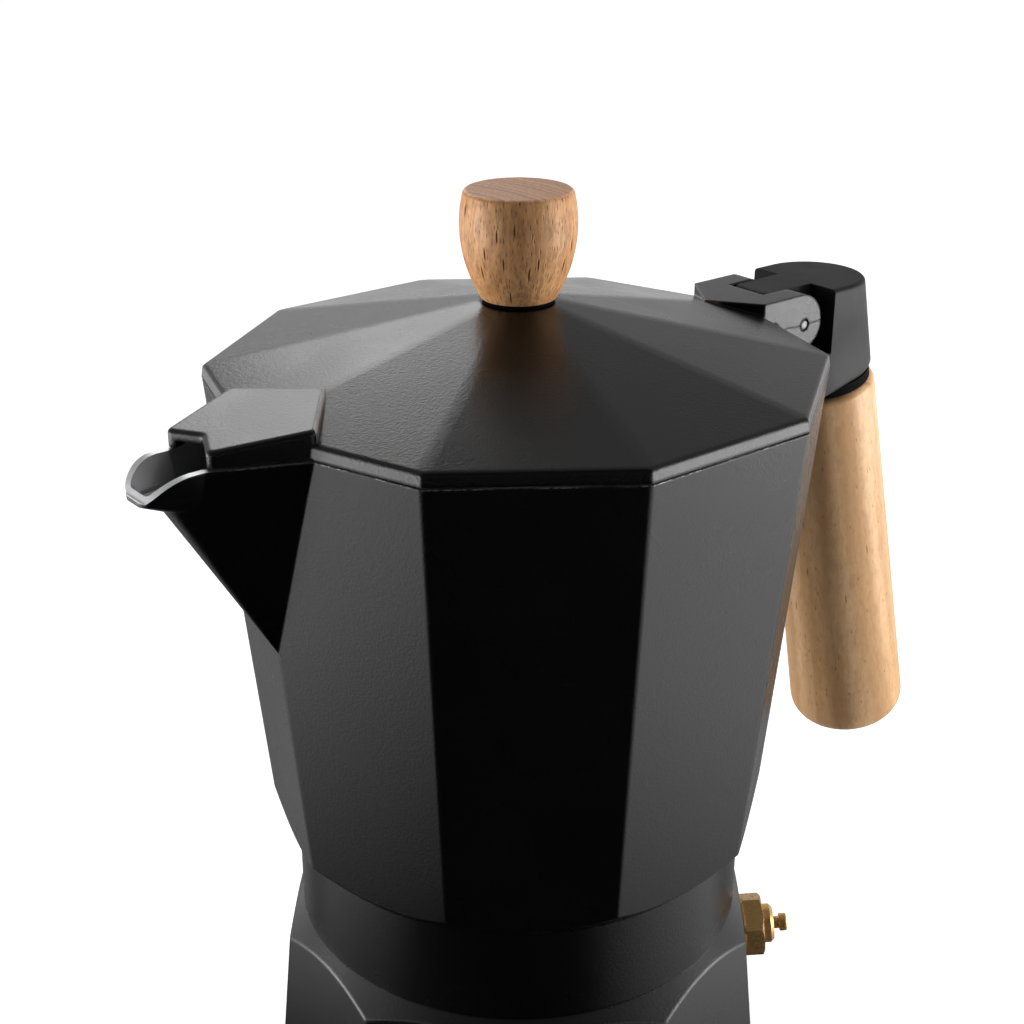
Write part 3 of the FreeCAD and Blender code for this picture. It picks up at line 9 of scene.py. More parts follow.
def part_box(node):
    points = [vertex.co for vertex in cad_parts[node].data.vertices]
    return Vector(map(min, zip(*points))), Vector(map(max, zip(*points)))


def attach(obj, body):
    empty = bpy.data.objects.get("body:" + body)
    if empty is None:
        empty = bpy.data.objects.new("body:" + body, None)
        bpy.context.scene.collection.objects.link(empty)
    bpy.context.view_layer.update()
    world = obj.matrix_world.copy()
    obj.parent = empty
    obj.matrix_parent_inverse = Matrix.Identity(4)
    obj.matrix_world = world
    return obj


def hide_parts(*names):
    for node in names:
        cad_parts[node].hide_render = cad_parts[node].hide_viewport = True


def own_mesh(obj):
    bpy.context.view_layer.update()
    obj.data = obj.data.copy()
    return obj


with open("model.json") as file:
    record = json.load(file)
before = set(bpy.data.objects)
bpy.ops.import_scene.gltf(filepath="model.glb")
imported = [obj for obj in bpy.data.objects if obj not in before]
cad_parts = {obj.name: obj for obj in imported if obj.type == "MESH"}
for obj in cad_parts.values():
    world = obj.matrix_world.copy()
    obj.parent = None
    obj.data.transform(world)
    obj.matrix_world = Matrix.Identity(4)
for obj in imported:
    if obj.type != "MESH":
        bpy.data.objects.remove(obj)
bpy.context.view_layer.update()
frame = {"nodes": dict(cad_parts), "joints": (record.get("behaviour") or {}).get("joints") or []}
joints = {joint["name"]: joint for joint in frame["joints"]}
pot_low, pot_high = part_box("collector")
MM = 0.001

# The photograph's camera, in degrees, metres and millimetres of lens
CAMERA_AZIMUTH = -38.96
CAMERA_ELEVATION = 23.466
CAMERA_DISTANCE = 0.3334
CAMERA_TARGET = Vector((0, 0, 0.1608))
CAMERA_LENS = 59.34
CAMERA_SENSOR = 36.0
CAMERA_SHIFT = -0.0064
CAMERA_CLIP = 0.01

# The boiler's coat fades out over this height in millimetres, just under the pot's foot
COAT_FADE = 0.1

# Levels on the part in millimetres, and the grip's lean
RIM = pot_high.z / MM
NECK_FOOT = pot_low.z / MM - COAT_FADE
NECK_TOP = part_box("boiler")[1].z / MM
PIN_LEVEL = joints["lid_hinge"]["pos_m"][2] / MM
POT_FLOOR = 110.0
BOILER_FLOOR = 12.0
GRIP_LEAN = math.radians(12.4)


def from_camera(right, forward, up):
    """A point given along the camera's level right and forward directions, from the pot's foot."""
    turn = math.radians(CAMERA_AZIMUTH)
    right_way = Vector((math.cos(turn), math.sin(turn), 0))
    forward_way = Vector((-math.sin(turn), math.cos(turn), 0))
    return right_way * right + forward_way * forward + Vector((0, 0, up))


class Graph:
    """The nodes of a material or of the world, with short ways to add and join them."""

    # The two inputs and the output of each kind of Mix node, by number because the kinds share their names
    MIX_SOCKETS = {"FLOAT": (2, 3, 0), "VECTOR": (4, 5, 1), "RGBA": (6, 7, 2)}

    # Most of a noise lies in this range
    NOISE_LOW = 0.3
    NOISE_HIGH = 0.7

    # Samples of a rounded edge
    EDGE_SAMPLES = 6

    def __init__(self, owner, shader):
        owner.use_nodes = True
        self.owner = owner
        self.nodes = owner.node_tree.nodes
        self.links = owner.node_tree.links
        self.shader = self.nodes[shader]

    def add(self, kind, inputs=None, **settings):
        node = self.nodes.new(kind)
        for key, setting in settings.items():
            setattr(node, key, setting)
        for socket, given in (inputs or {}).items():
            self.feed(node.inputs[socket], given)
        return node

    def feed(self, socket, given):
        """Sets a socket to a value, or joins it to a node's first output or to an output."""
        if isinstance(given, bpy.types.Node):
            self.links.new(given.outputs[0], socket)
        elif isinstance(given, bpy.types.NodeSocket):
            self.links.new(given, socket)
        else:
            socket.default_value = given

    def surface(self, **inputs):
        for socket, given in inputs.items():
            self.feed(self.shader.inputs[socket.replace("_", " ")], given)

    def math(self, operation, first, second=0.0, third=0.0):
        return self.add("ShaderNodeMath", {0: first, 1: second, 2: third}, operation=operation)

    def vector_math(self, operation, first, second=(0, 0, 0)):
        return self.add("ShaderNodeVectorMath", {0: first, 1: second}, operation=operation)

    def spread(self, given, low, high, to_low=0.0, to_high=1.0, curve="SMOOTHSTEP"):
        """Maps a range onto another, held at both ends."""
        inputs = {"Value": given, "From Min": low, "From Max": high, "To Min": to_low, "To Max": to_high}
        return self.add("ShaderNodeMapRange", inputs, interpolation_type=curve)

    def vary(self, noise, low, high):
        """A number that follows a noise from low to high."""
        return self.spread(noise, self.NOISE_LOW, self.NOISE_HIGH, low, high)

    def mix(self, kind, share, first, second):
        """Numbers, vectors or colours mixed by a share."""
        first_input, second_input, output = self.MIX_SOCKETS[kind]
        inputs = {0: share, first_input: first, second_input: second}
        return self.add("ShaderNodeMix", inputs, data_type=kind).outputs[output]

    def blend(self, share, first, second):
        """Colours mixed by a share."""
        return self.mix("RGBA", share, first, second)

    def place(self):
        """The piece's own coordinates in metres."""
        return self.add("ShaderNodeTexCoord").outputs["Object"]

    def millimetres(self, turn=(0, 0, 0)):
        """The piece's own coordinates in millimetres, turned."""
        inputs = {"Vector": self.place(), "Rotation": turn, "Scale": (1 / MM, 1 / MM, 1 / MM)}
        return self.add("ShaderNodeMapping", inputs, vector_type="POINT")

    def parts(self, vector):
        return self.add("ShaderNodeSeparateXYZ", {0: vector}).outputs

    def facing(self):
        """The three parts of the normal in the piece's own frame."""
        return self.parts(self.add("ShaderNodeTexCoord").outputs["Normal"])

    def noise(self, place, scale, detail=2.0, roughness=0.5):
        inputs = {"Vector": place, "Scale": scale, "Detail": detail, "Roughness": roughness}
        return self.add("ShaderNodeTexNoise", inputs).outputs["Fac"]

    def bump(self, height, depth, after=None):
        """A normal with a height laid over another normal; the depth is in millimetres."""
        inputs = {"Height": height, "Distance": depth * MM}
        if after is not None:
            inputs["Normal"] = after
        return self.add("ShaderNodeBump", inputs).outputs["Normal"]

    def soft_edges(self, radius):
        """A normal that rounds the edges by a radius in millimetres."""
        node = self.add("ShaderNodeBevel", {"Radius": radius * MM}, samples=self.EDGE_SAMPLES)
        return node.outputs["Normal"]

    def seen_rays(self):
        """1 for camera, glossy and transmission rays, else 0, and 1 for camera rays alone."""
        path = self.add("ShaderNodeLightPath").outputs
        seen = self.math("MAXIMUM", path["Is Camera Ray"], path["Is Glossy Ray"])
        return self.math("MAXIMUM", seen, path["Is Transmission Ray"]), path["Is Camera Ray"]


def new_material(name):
    return Graph(bpy.data.materials.new(name), "Principled BSDF")


# Black powder coat: two tones, and the depth of its orange peel and grit in millimetres
COAT_TONES = (0.0022, 0.0022, 0.0024, 1), (0.0036, 0.0036, 0.0038, 1)
COAT_ROUGH = 0.25, 0.29
PEEL_DEPTH = 0.034
GRIT_DEPTH = 0.018


def coat_layers(graph, place, softness):
    """Fine orange peel and a faint mottle of the black powder coat: its colour, roughness and normal."""
    peel = graph.noise(place, scale=1.7)
    grit = graph.noise(place, scale=3.2, detail=1.0)
    mottle = graph.noise(place, scale=0.05, detail=3.0)
    normal = graph.bump(grit, GRIT_DEPTH, graph.bump(peel, PEEL_DEPTH, graph.soft_edges(softness)))
    return graph.blend(mottle, *COAT_TONES), graph.vary(mottle, *COAT_ROUGH), normal


# Cast aluminium, part metal and part dull oxide: tones as cast and as rubbed bright, the dull ones also
# painted shade deep in the pot, and its relief in millimetres
METAL_SHARE = 0.7
DULL_TONES = (0.34, 0.34, 0.345, 1), (0.44, 0.44, 0.445, 1)
BRIGHT_TONES = (0.56, 0.56, 0.57, 1), (0.74, 0.74, 0.75, 1)
METAL_ROUGH = 0.34, 0.42
CLOUD_DEPTH = 0.03
PIT_DEPTH = 0.008

# The least and most wear of the bare pieces and of the lid's underside
WEAR_SCALE = 0.08
PIECE_WEAR = 0.2, 0.8
LID_WEAR = 0.2, 0.7


def metal_layers(graph, place, bright_share):
    """Cast aluminium, dull as cast and bright by a given share, which is wear and, in the pot, painted light
    near the rim over painted shade deeper down: its cloudy colour, roughness and normal.
    """
    cloud = graph.noise(place, scale=0.35, detail=3.0, roughness=0.6)
    pits = graph.noise(place, scale=3.0, roughness=0.6)
    colour = graph.blend(bright_share, graph.blend(cloud, *DULL_TONES), graph.blend(cloud, *BRIGHT_TONES))
    normal = graph.bump(pits, PIT_DEPTH, graph.bump(cloud, CLOUD_DEPTH))
    return colour, graph.vary(cloud, *METAL_ROUGH), normal


def bare_aluminium():
    graph = new_material("aluminium")
    place = graph.millimetres()
    bright_share = graph.vary(graph.noise(place, WEAR_SCALE), *PIECE_WEAR)
    colour, rough, normal = metal_layers(graph, place, bright_share)
    graph.surface(Base_Color=colour, Roughness=rough, Metallic=METAL_SHARE, Normal=normal)
    return graph.owner


# Depth of a casting's relief in millimetres
RELIEF_DEPTH = 0.35


def coated_casting(name, find_bare, softness, shine, relief=None):
    """Cast aluminium under black powder coat, bare where find_bare says and as bright as the share it gives:
    wear, and in the pot painted light near the rim over painted shade deeper down.
    """
    graph = new_material(name)
    place = graph.millimetres()
    bare, bright_share = find_bare(graph, place)
    coat_colour, coat_rough, coat_normal = coat_layers(graph, place, softness)
    metal_colour, metal_rough, metal_normal = metal_layers(graph, place, bright_share)
    normal = graph.mix("VECTOR", bare, coat_normal, metal_normal)
    if relief is not None:
        normal = graph.bump(relief(graph, place), RELIEF_DEPTH, normal)
    graph.surface(
        Base_Color=graph.blend(bare, coat_colour, metal_colour),
        Roughness=graph.mix("FLOAT", bare, coat_rough, metal_rough),
        Metallic=graph.math("MULTIPLY", bare, METAL_SHARE),
        Specular_IOR_Level=shine,
        Normal=normal,
    )
    return graph.owner


def radius_of(graph, place):
    x, y, _ = graph.parts(place)
    return graph.math("SQRT", graph.math("ADD", graph.math("MULTIPLY", x, x), graph.math("MULTIPLY", y, y)))


# From here a wall is inside: its distance from the axis in millimetres times how far it faces outwards
INSIDE_FROM = -1.0
INSIDE_FULL = -4.0


def inside_of(graph, place):
    """1 where a wall faces the pot's axis, else 0."""
    x, y, _ = graph.parts(place)
    nx, ny, _ = graph.facing()
    outward = graph.math("ADD", graph.math("MULTIPLY", x, nx), graph.math("MULTIPLY", y, ny))
    return graph.spread(outward, INSIDE_FROM, INSIDE_FULL)


# Bare places of the pot in millimetres: its flats, its ceiling, the rim's edge and a band inside the rim,
# bright from wear and painted light, above dull metal that is painted shade deeper in the pot
FLATS_LEVEL = 182.0
CEILING_RADIUS = 43.0
BARE_FADE = 1.0
FLOOR_FADE = 2.0
EDGE_LINE_FROM = 0.24
EDGE_LINE_FULL = 0.16
WORN_AND_LIT_BAND_FROM = 7.0
WORN_AND_LIT_BAND_FULL = 1.0
WORN_AND_LIT_BAND_SHARE = 0.7


def bare_in_pot(graph, place):
    """The pot's inside, its rim and lip, its ceiling over the filter, and a rubbed line at the rim's edge;
    and how bright its bare metal is, with painted light just inside the rim and painted shade below it.
    """
    _, _, z = graph.parts(place)
    _, _, nz = graph.facing()
    inside = inside_of(graph, place)
    flats = graph.spread(z, FLATS_LEVEL, FLATS_LEVEL + BARE_FADE)
    floor = graph.spread(z, POT_FLOOR + FLOOR_FADE, POT_FLOOR)
    faces_up = graph.spread(nz, 0.35, 0.6)
    top = graph.math("MULTIPLY", faces_up, graph.math("MAXIMUM", flats, floor))
    faces_down = graph.spread(nz, -0.5, -0.7)
    within = graph.spread(radius_of(graph, place), CEILING_RADIUS + BARE_FADE, CEILING_RADIUS)
    ceiling = graph.math("MULTIPLY", faces_down, within)
    edge = graph.spread(z, RIM - EDGE_LINE_FROM, RIM - EDGE_LINE_FULL)
    patchy = graph.spread(graph.noise(place, scale=0.09, detail=1.0), 0.42, 0.58, 0.0, 0.5)
    dotted = graph.spread(graph.noise(place, scale=1.3, roughness=0.6), 0.46, 0.58)
    line = graph.math("MULTIPLY", edge, graph.math("MULTIPLY", patchy, dotted))
    bare = graph.math("MAXIMUM", graph.math("MAXIMUM", inside, top), graph.math("MAXIMUM", ceiling, line))
    # Painted light and shade: the inner walls are bright just under the rim, from wear and painted light,
    # and dull further down, as dull metal and as painted shade
    band = graph.spread(z, RIM - WORN_AND_LIT_BAND_FROM, RIM - WORN_AND_LIT_BAND_FULL, 0.0, WORN_AND_LIT_BAND_SHARE)
    return bare, graph.math("MAXIMUM", top, graph.math("MULTIPLY", inside, band))


# The lid's underside in millimetres: the skirt's inner radius and the root of the hinge lug
SKIRT_FROM = 57.8
SKIRT_FULL = 57.2
LUG_ROOT_FROM = 52.0
LUG_ROOT_FULL = 50.0


def bare_in_lid(graph, place):
    """The lid's underside within the skirt."""
    x, _, _ = graph.parts(place)
    _, _, nz = graph.facing()
    faces_down = graph.spread(nz, -0.2, -0.4)
    in_skirt = graph.spread(radius_of(graph, place), SKIRT_FROM, SKIRT_FULL)
    off_lug = graph.spread(x, LUG_ROOT_FROM, LUG_ROOT_FULL)
    under = graph.math("MAXIMUM", faces_down, inside_of(graph, place))
    bare = graph.math("MULTIPLY", under, graph.math("MULTIPLY", in_skirt, off_lug))
    return bare, graph.vary(graph.noise(place, WEAR_SCALE), *LID_WEAR)


# The hinge lug and the groove of its parting line, in millimetres
LUG_FROM = 61.5
LUG_FULL = 62.0
CHEEK_FROM = 10.0
CHEEK_FULL = 10.2
GROOVE_HALF = 0.07
GROOVE_FADE = 0.2
GROOVE_DROP = 0.1
GROOVE_WAVER = 0.5


def lug_line(graph, place):
    """The casting's parting line along both cheeks of the hinge lug, as a shallow groove."""
    x, y, z = graph.parts(place)
    cheek = graph.spread(graph.math("ABSOLUTE", y), CHEEK_FROM, CHEEK_FULL)
    lug = graph.spread(x, LUG_FROM, LUG_FULL)
    level = graph.math("MULTIPLY_ADD", graph.noise(place, scale=0.3), GROOVE_WAVER, PIN_LEVEL - GROOVE_DROP)
    off_line = graph.math("ABSOLUTE", graph.math("SUBTRACT", z, level))
    groove = graph.spread(off_line, GROOVE_HALF, GROOVE_FADE, -1.0, 0.0)
    return graph.math("MULTIPLY", groove, graph.math("MULTIPLY", cheek, lug))


def bare_in_boiler(graph, place):
    """The boiler's inside and its threaded neck."""
    _, _, z = graph.parts(place)
    _, _, nz = graph.facing()
    faces_up = graph.spread(nz, 0.4, 0.6)
    floor = graph.math("MULTIPLY", faces_up, graph.spread(z, BOILER_FLOOR + BARE_FADE, BOILER_FLOOR))
    neck = graph.spread(z, NECK_FOOT, NECK_FOOT + COAT_FADE)
    return graph.math("MAXIMUM", graph.math("MAXIMUM", inside_of(graph, place), floor), neck), neck


# Wood: how far its grain wavers in millimetres, and how it is drawn out along the piece
GRAIN_WAVER = (2.2, 2.2, 0.0)
FIBRE_DRAW = (1.0, 1.0, 0.05)
CURL_DRAW = (1.0, 1.0, 0.35)

# Wood: strength of its dark grain and end rings, the full core of a mark, and colours of its marks
DARK_GRAIN = 0.5
END_RINGS = 0.6
LENS_CORE = 0.4
DASH_DARKNESS = 0.65
DASH_COLOUR = (0.17, 0.068, 0.022, 1)
FLECK_COLOUR = (0.085, 0.026, 0.006, 1)
END_TONES = (0.88, 0.50, 0.29, 1), (0.64, 0.33, 0.17, 1)
END_RING_COLOUR = (0.40, 0.18, 0.085, 1)

# Wood: relief of its fibres and dashes against its flecks, and its roughness and shine
FIBRE_RELIEF = -0.5
DASH_RELIEF = 0.4
ROUGH_RANGE = 0.12
FLECK_ROUGH = 0.85
OILED_SHINE = 0.35


def wood(name, pith, tones, marks, turn=(0, 0, 0), axis=(0, 0, 0)):
    """Oiled beech: growth rings about a pith off the piece's axis, fibres, fine dashes and dark flecks."""
    pale, deep = tones
    dark = [channel * DARK_GRAIN for channel in deep[:3]] + [1]
    graph = new_material(name)
    straight = graph.vector_math("SUBTRACT", graph.millimetres(turn), axis)
    waver = graph.add("ShaderNodeTexNoise", {"Vector": straight, "Scale": 0.22, "Detail": 3.0})
    shift = graph.vector_math("MULTIPLY", waver.outputs["Color"], GRAIN_WAVER)
    place = graph.vector_math("ADD", straight, shift)
    reach = radius_of(graph, graph.vector_math("ADD", place, pith))
    rings = graph.noise(graph.add("ShaderNodeCombineXYZ", {0: reach}), scale=0.75, roughness=0.7)
    growth = graph.spread(rings, 0.42, 0.66)
    along = graph.vector_math("MULTIPLY", place, FIBRE_DRAW)
    fibre = graph.noise(along, scale=1.6, detail=3.0, roughness=0.65)
    broad = graph.noise(along, scale=0.17)
    curl_place = graph.vector_math("MULTIPLY", place, CURL_DRAW)
    curl = graph.noise(curl_place, scale=1.1, detail=3.0, roughness=0.6)
    _, _, nz = graph.facing()
    side = graph.spread(nz, 0.95, 0.6)
    x, y, z = graph.parts(straight)
    round_way = graph.math("MULTIPLY", graph.math("ARCTAN2", y, x), marks["radius"])

    def lenses(draw, scale, size, share):
        """Lens-shaped marks along the grain, one in each kept cell."""
        spot = graph.add("ShaderNodeCombineXYZ", {0: round_way, 1: graph.math("MULTIPLY", z, draw)})
        cells = graph.add("ShaderNodeTexVoronoi", {"Vector": spot, "Scale": scale}, voronoi_dimensions="2D")
        kept = graph.math("LESS_THAN", graph.parts(cells.outputs["Color"])[0], share)
        lens = graph.spread(cells.outputs["Distance"], size, size * LENS_CORE)
        return graph.math("MULTIPLY", graph.math("MULTIPLY", lens, kept), side)

    dash = lenses(draw=0.2, scale=1.5, size=0.2, share=marks["dashes"])
    fleck = lenses(draw=0.115, scale=0.62, size=0.12, share=marks["flecks"])
    base = graph.blend(graph.spread(broad, 0.35, 0.65), deep, pale)
    ringed = graph.blend(graph.math("MULTIPLY", growth, marks["rings"]), base, dark)
    streaked = graph.blend(graph.spread(fibre, 0.42, 0.72, 0.0, marks["fibres"]), ringed, dark)
    curled = graph.blend(graph.spread(curl, 0.45, 0.7, 0.0, marks["fibres"]), streaked, dark)
    dashed = graph.blend(graph.math("MULTIPLY", dash, DASH_DARKNESS), curled, DASH_COLOUR)
    flecked = graph.blend(graph.math("MULTIPLY", fleck, marks["darkness"]), dashed, FLECK_COLOUR)
    end_grain = graph.blend(graph.spread(fibre, 0.4, 0.7), *END_TONES)
    end_ringed = graph.blend(graph.math("MULTIPLY", growth, END_RINGS), end_grain, END_RING_COLOUR)
    hollows = graph.math("ADD", fleck, graph.math("MULTIPLY", dash, DASH_RELIEF))
    relief = graph.math("SUBTRACT", graph.math("MULTIPLY", fibre, FIBRE_RELIEF), hollows)
    oiled = graph.vary(fibre, marks["rough"], marks["rough"] + ROUGH_RANGE)
    graph.surface(
        Base_Color=graph.blend(side, end_ringed, flecked),
        Roughness=graph.math("MAXIMUM", oiled, graph.math("MULTIPLY", fleck, FLECK_ROUGH)),
        Specular_IOR_Level=graph.spread(fleck, 0.0, 0.5, OILED_SHINE, 0.0),
        Normal=graph.bump(relief, marks["depth"]),
    )
    return graph.owner


# Brass, with a dull film over part of its metal; its edges are rounded in millimetres
BRASS_METAL_SHARE = 0.8
BRASS_TONES = (0.70, 0.42, 0.15, 1), (0.82, 0.51, 0.20, 1)
BRASS_ROUGH = 0.26, 0.32
BRASS_EDGE = 0.18


def brass():
    """Turned brass, slightly tarnished."""
    graph = new_material("brass")
    cloud = graph.noise(graph.millimetres(), scale=1.2)
    graph.surface(
        Base_Color=graph.blend(cloud, *BRASS_TONES),
        Roughness=graph.vary(cloud, *BRASS_ROUGH),
        Metallic=BRASS_METAL_SHARE,
        Normal=graph.soft_edges(BRASS_EDGE),
    )
    return graph.owner


# Pale clouds of black mouldings and steel as multiples of their tone, and relief and edges in millimetres
PALE_CLOUD = 1.35
MOULDING_BLUE = 1.38
SPARK_DEPTH = 0.035
MOULDING_EDGE = 0.3
STEEL_BLUE = 1.37
STEEL_GRAIN_DEPTH = 0.003
STEEL_EDGE = 0.6


def moulded(name, tone, shine, rough):
    """Matte black moulding with a fine spark texture."""
    graph = new_material(name)
    place = graph.millimetres()
    grain = graph.noise(place, scale=2.6, detail=3.0, roughness=0.6)
    cloud = graph.noise(place, scale=0.09)
    pale = (tone * PALE_CLOUD, tone * PALE_CLOUD, tone * MOULDING_BLUE, 1)
    graph.surface(
        Base_Color=graph.blend(cloud, (tone, tone, tone, 1), pale),
        Roughness=graph.vary(cloud, *rough),
        Specular_IOR_Level=shine,
        Normal=graph.bump(grain, SPARK_DEPTH, graph.soft_edges(MOULDING_EDGE)),
    )
    return graph.owner


def steel(name, tone, rough):
    """Steel with a cloudy tone and a very fine grain."""
    graph = new_material(name)
    place = graph.millimetres()
    cloud = graph.noise(place, scale=0.4, detail=3.0, roughness=0.6)
    grain = graph.noise(place, scale=9.0, roughness=0.6)
    pale = (tone * PALE_CLOUD, tone * PALE_CLOUD, tone * STEEL_BLUE, 1)
    graph.surface(
        Base_Color=graph.blend(cloud, (tone, tone, tone, 1), pale),
        Roughness=graph.vary(cloud, *rough),
        Metallic=1.0,
        Normal=graph.bump(grain, STEEL_GRAIN_DEPTH, graph.soft_edges(STEEL_EDGE)),
    )
    return graph.owner


# White silicone
SILICONE_TONES = (0.72, 0.71, 0.68, 1), (0.80, 0.79, 0.76, 1)
SILICONE_ROUGH = 0.38, 0.5


def silicone():
    """White silicone of the filter's gasket and the valve's seal."""
    graph = new_material("silicone")
    cloud = graph.noise(graph.millimetres(), scale=0.3)
    colour = graph.blend(cloud, *SILICONE_TONES)
    graph.surface(Base_Color=colour, Roughness=graph.vary(cloud, *SILICONE_ROUGH))
    return graph.owner


def dress(material, *nodes):
    for node in nodes:
        mesh = frame["nodes"][node].data
        mesh.materials.clear()
        mesh.materials.append(material)


def dress_castings():
    dress(coated_casting("pot_coat", bare_in_pot, softness=0.6, shine=0.5), "collector")
    dress(coated_casting("lid_coat", bare_in_lid, softness=0.75, shine=0.5, relief=lug_line), "lid")
    dress(coated_casting("boiler_coat", bare_in_boiler, softness=0.9, shine=1.0), "boiler")
    dress(bare_aluminium(), "funnel", "funnel_disc", "filter_plate", "riser_column")


# Wood of the knob and the grip: pith, radius and depth of grain in millimetres, other marks as shares
KNOB_TONES = (0.76, 0.42, 0.195, 1), (0.62, 0.30, 0.12, 1)
KNOB_PITH = (32.0, 2.0, 0.0)
KNOB_MARKS = {
    "radius": 9.0, "depth": 0.10, "rings": 0.4, "fibres": 0.6,
    "dashes": 0.7, "flecks": 0.62, "darkness": 0.95, "rough": 0.38,
}
GRIP_TONES = (0.76, 0.475, 0.25, 1), (0.58, 0.325, 0.145, 1)
GRIP_PITH = (18.0, 30.0, 0.0)
GRIP_MARKS = {
    "radius": 10.0, "depth": 0.03, "rings": 0.12, "fibres": 0.22,
    "dashes": 0.06, "flecks": 0.05, "darkness": 0.5, "rough": 0.30,
}


def dress_wood():
    dress(wood("beech_knob", KNOB_PITH, KNOB_TONES, KNOB_MARKS), "knob")
    grip_low, grip_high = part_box("handle_grip")
    upright = (0, GRIP_LEAN, 0)
    grip_axis = Matrix.Rotation(GRIP_LEAN, 3, "Y") @ ((grip_low + grip_high) / 2 / MM)
    dress(wood("beech_grip", GRIP_PITH, GRIP_TONES, GRIP_MARKS, upright, grip_axis), "handle_grip")


def dress_fittings():
    dress(brass(), "valve_body", "valve_plunger", "valve_washer", "valve_seat")
    dress(moulded("black_moulding", tone=0.006, shine=0.46, rough=(0.56, 0.64)), "handle_bracket")
    dress(moulded("black_packing", tone=0.0015, shine=0.1, rough=(0.80, 0.90)), "grip_collar", "knob_spacer")
    dress(steel("steel", tone=0.52, rough=(0.18, 0.30)), "bracket_screw", "handle_screw", "handle_washer",
          "knob_screw", "knob_washer", "valve_spring")
    # The hinge pin gets a darker copy of the steel: painted shade that dims the highlight of the right lamp
    # on the pin's end
    dress(steel("shaded_pin_steel", tone=0.17, rough=(0.42, 0.52)), "hinge_pin")
    dress(silicone(), "gasket", "valve_seal")


def put(name, data):
    """A new object in the scene with this mesh, lamp or camera."""
    made = bpy.data.objects.new(name, data)
    bpy.context.scene.collection.objects.link(made)
    return made


def shorten_spring():
    """The valve's spring as a copy with its own mesh that stays in the valve, in place of the hidden part.
    """
    node = frame["nodes"]["valve_spring"]
    coil = node.copy()
    coil.data = node.data.copy()
    coil.name = "spring_coil"
    bpy.context.scene.collection.objects.link(coil)
    coil.parent = None
    coil.matrix_world = node.matrix_world.copy()
    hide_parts("valve_spring")
    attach(coil, "boiler")
    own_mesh(coil)


# The neck's thread in millimetres, with the lead that lifts the pot, and its steps in a turn and at its ends
POT_TURNS = joints["collector_turn"]["range_deg"][1] / 360
THREAD_LEAD = joints["collector_lift"]["range_m"][1] / MM / POT_TURNS
NECK_RADIUS = 42.0
THREAD_MARGIN = 1.6
THREAD_HEIGHT = 0.22
THREAD_SINK = 0.2
THREAD_ROOT_HALF = 0.8
THREAD_CREST_HALF = 0.25
THREAD_STEPS = 96
THREAD_RUN_OUT = 12


def make_thread():
    """The thread round the boiler's neck: one ridge that runs out at both ends and clears the pot's bore."""
    low = NECK_FOOT + THREAD_MARGIN
    count = round((NECK_TOP - THREAD_MARGIN - low) / THREAD_LEAD * THREAD_STEPS)
    root = NECK_RADIUS - THREAD_SINK
    corners = []
    for step in range(count + 1):
        turn = 2 * math.pi * step / THREAD_STEPS
        level = low + THREAD_LEAD * step / THREAD_STEPS
        grown = min(step, count - step, THREAD_RUN_OUT) / THREAD_RUN_OUT
        crest = root + THREAD_SINK / 2 + (THREAD_HEIGHT + THREAD_SINK / 2) * grown
        outline = ((root, -THREAD_ROOT_HALF), (crest, -THREAD_CREST_HALF),
                   (crest, THREAD_CREST_HALF), (root, THREAD_ROOT_HALF))
        for radius, offset in outline:
            corner = Vector((radius * math.cos(turn), radius * math.sin(turn), level + offset))
            corners.append(corner * MM)
    ring = len(outline)
    end = ring * count
    faces = [tuple(range(ring)), tuple(range(end + ring - 1, end - 1, -1))]
    for step in range(count):
        for side in range(ring):
            near = ring * step + side
            far = ring * step + (side + 1) % ring
            faces.append((near, near + ring, far + ring, far))
    mesh = bpy.data.meshes.new("neck_thread")
    mesh.from_pydata(corners, [], faces)
    mesh.materials.append(bpy.data.materials["aluminium"])
    thread = put("neck_thread", mesh)
    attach(thread, "boiler")


def plate(name, corners):
    """A flat face of the stage."""
    mesh = bpy.data.meshes.new(name)
    mesh.from_pydata([(x, y, 0) for x, y in corners], [], [tuple(range(len(corners)))])
    made = put(name, mesh)
    return made


# The floor in metres: its half width, and the distances from the pot between which its glow grows to white
FLOOR_HALF = 6.0
FLOOR_GLOW_FROM = 0.45
FLOOR_GLOW_FULL = 1.3
FLOOR_NEAR_GLOW = 0.58
FLOOR_COLOUR = (0.8, 0.8, 0.8, 1)
FLOOR_ROUGH = 0.9
WHITE = (1, 1, 1, 1)


def make_floor():
    """A white floor that keeps the object's shadow near it and is plain white further off."""
    corners = [(-FLOOR_HALF, -FLOOR_HALF), (FLOOR_HALF, -FLOOR_HALF),
               (FLOOR_HALF, FLOOR_HALF), (-FLOOR_HALF, FLOOR_HALF)]
    floor = plate("floor", corners)
    graph = new_material("floor_white")
    seen, _ = graph.seen_rays()
    distance = radius_of(graph, graph.place())
    glow = graph.spread(distance, FLOOR_GLOW_FROM, FLOOR_GLOW_FULL, FLOOR_NEAR_GLOW, 1.0)
    graph.surface(
        Base_Color=FLOOR_COLOUR,
        Roughness=FLOOR_ROUGH,
        Specular_IOR_Level=0.0,
        Emission_Color=WHITE,
        Emission_Strength=graph.math("MULTIPLY", seen, glow),
    )
    floor.data.materials.append(graph.owner)


# The card in metres to the camera's right and forward: it has one width behind the pot and widens before it
CARD_CORNERS = (-3.0, -5.0), (3.0, -5.0), (0.6, 0.9), (-0.6, 0.9)
CARD_LIFT = 0.0005
CARD_MIDDLE = -0.02
CARD_BEHIND_FROM = 0.02
CARD_BEHIND_FULL = 0.14
CARD_BEHIND_HALF = 0.24
CARD_BEFORE_FROM = -0.08
CARD_BEFORE_SLOPE = -0.45

# The card's soft edge and the start of its thinner part in metres, and its cover there
CARD_EDGE_FULL = 0.08
CARD_EDGE_END = 0.25
CARD_THIN_FULL = 0.12
CARD_THIN_COVER = 0.78
CARD_COLOUR = (0.004, 0.004, 0.004, 1)
CARD_ROUGH = 0.95


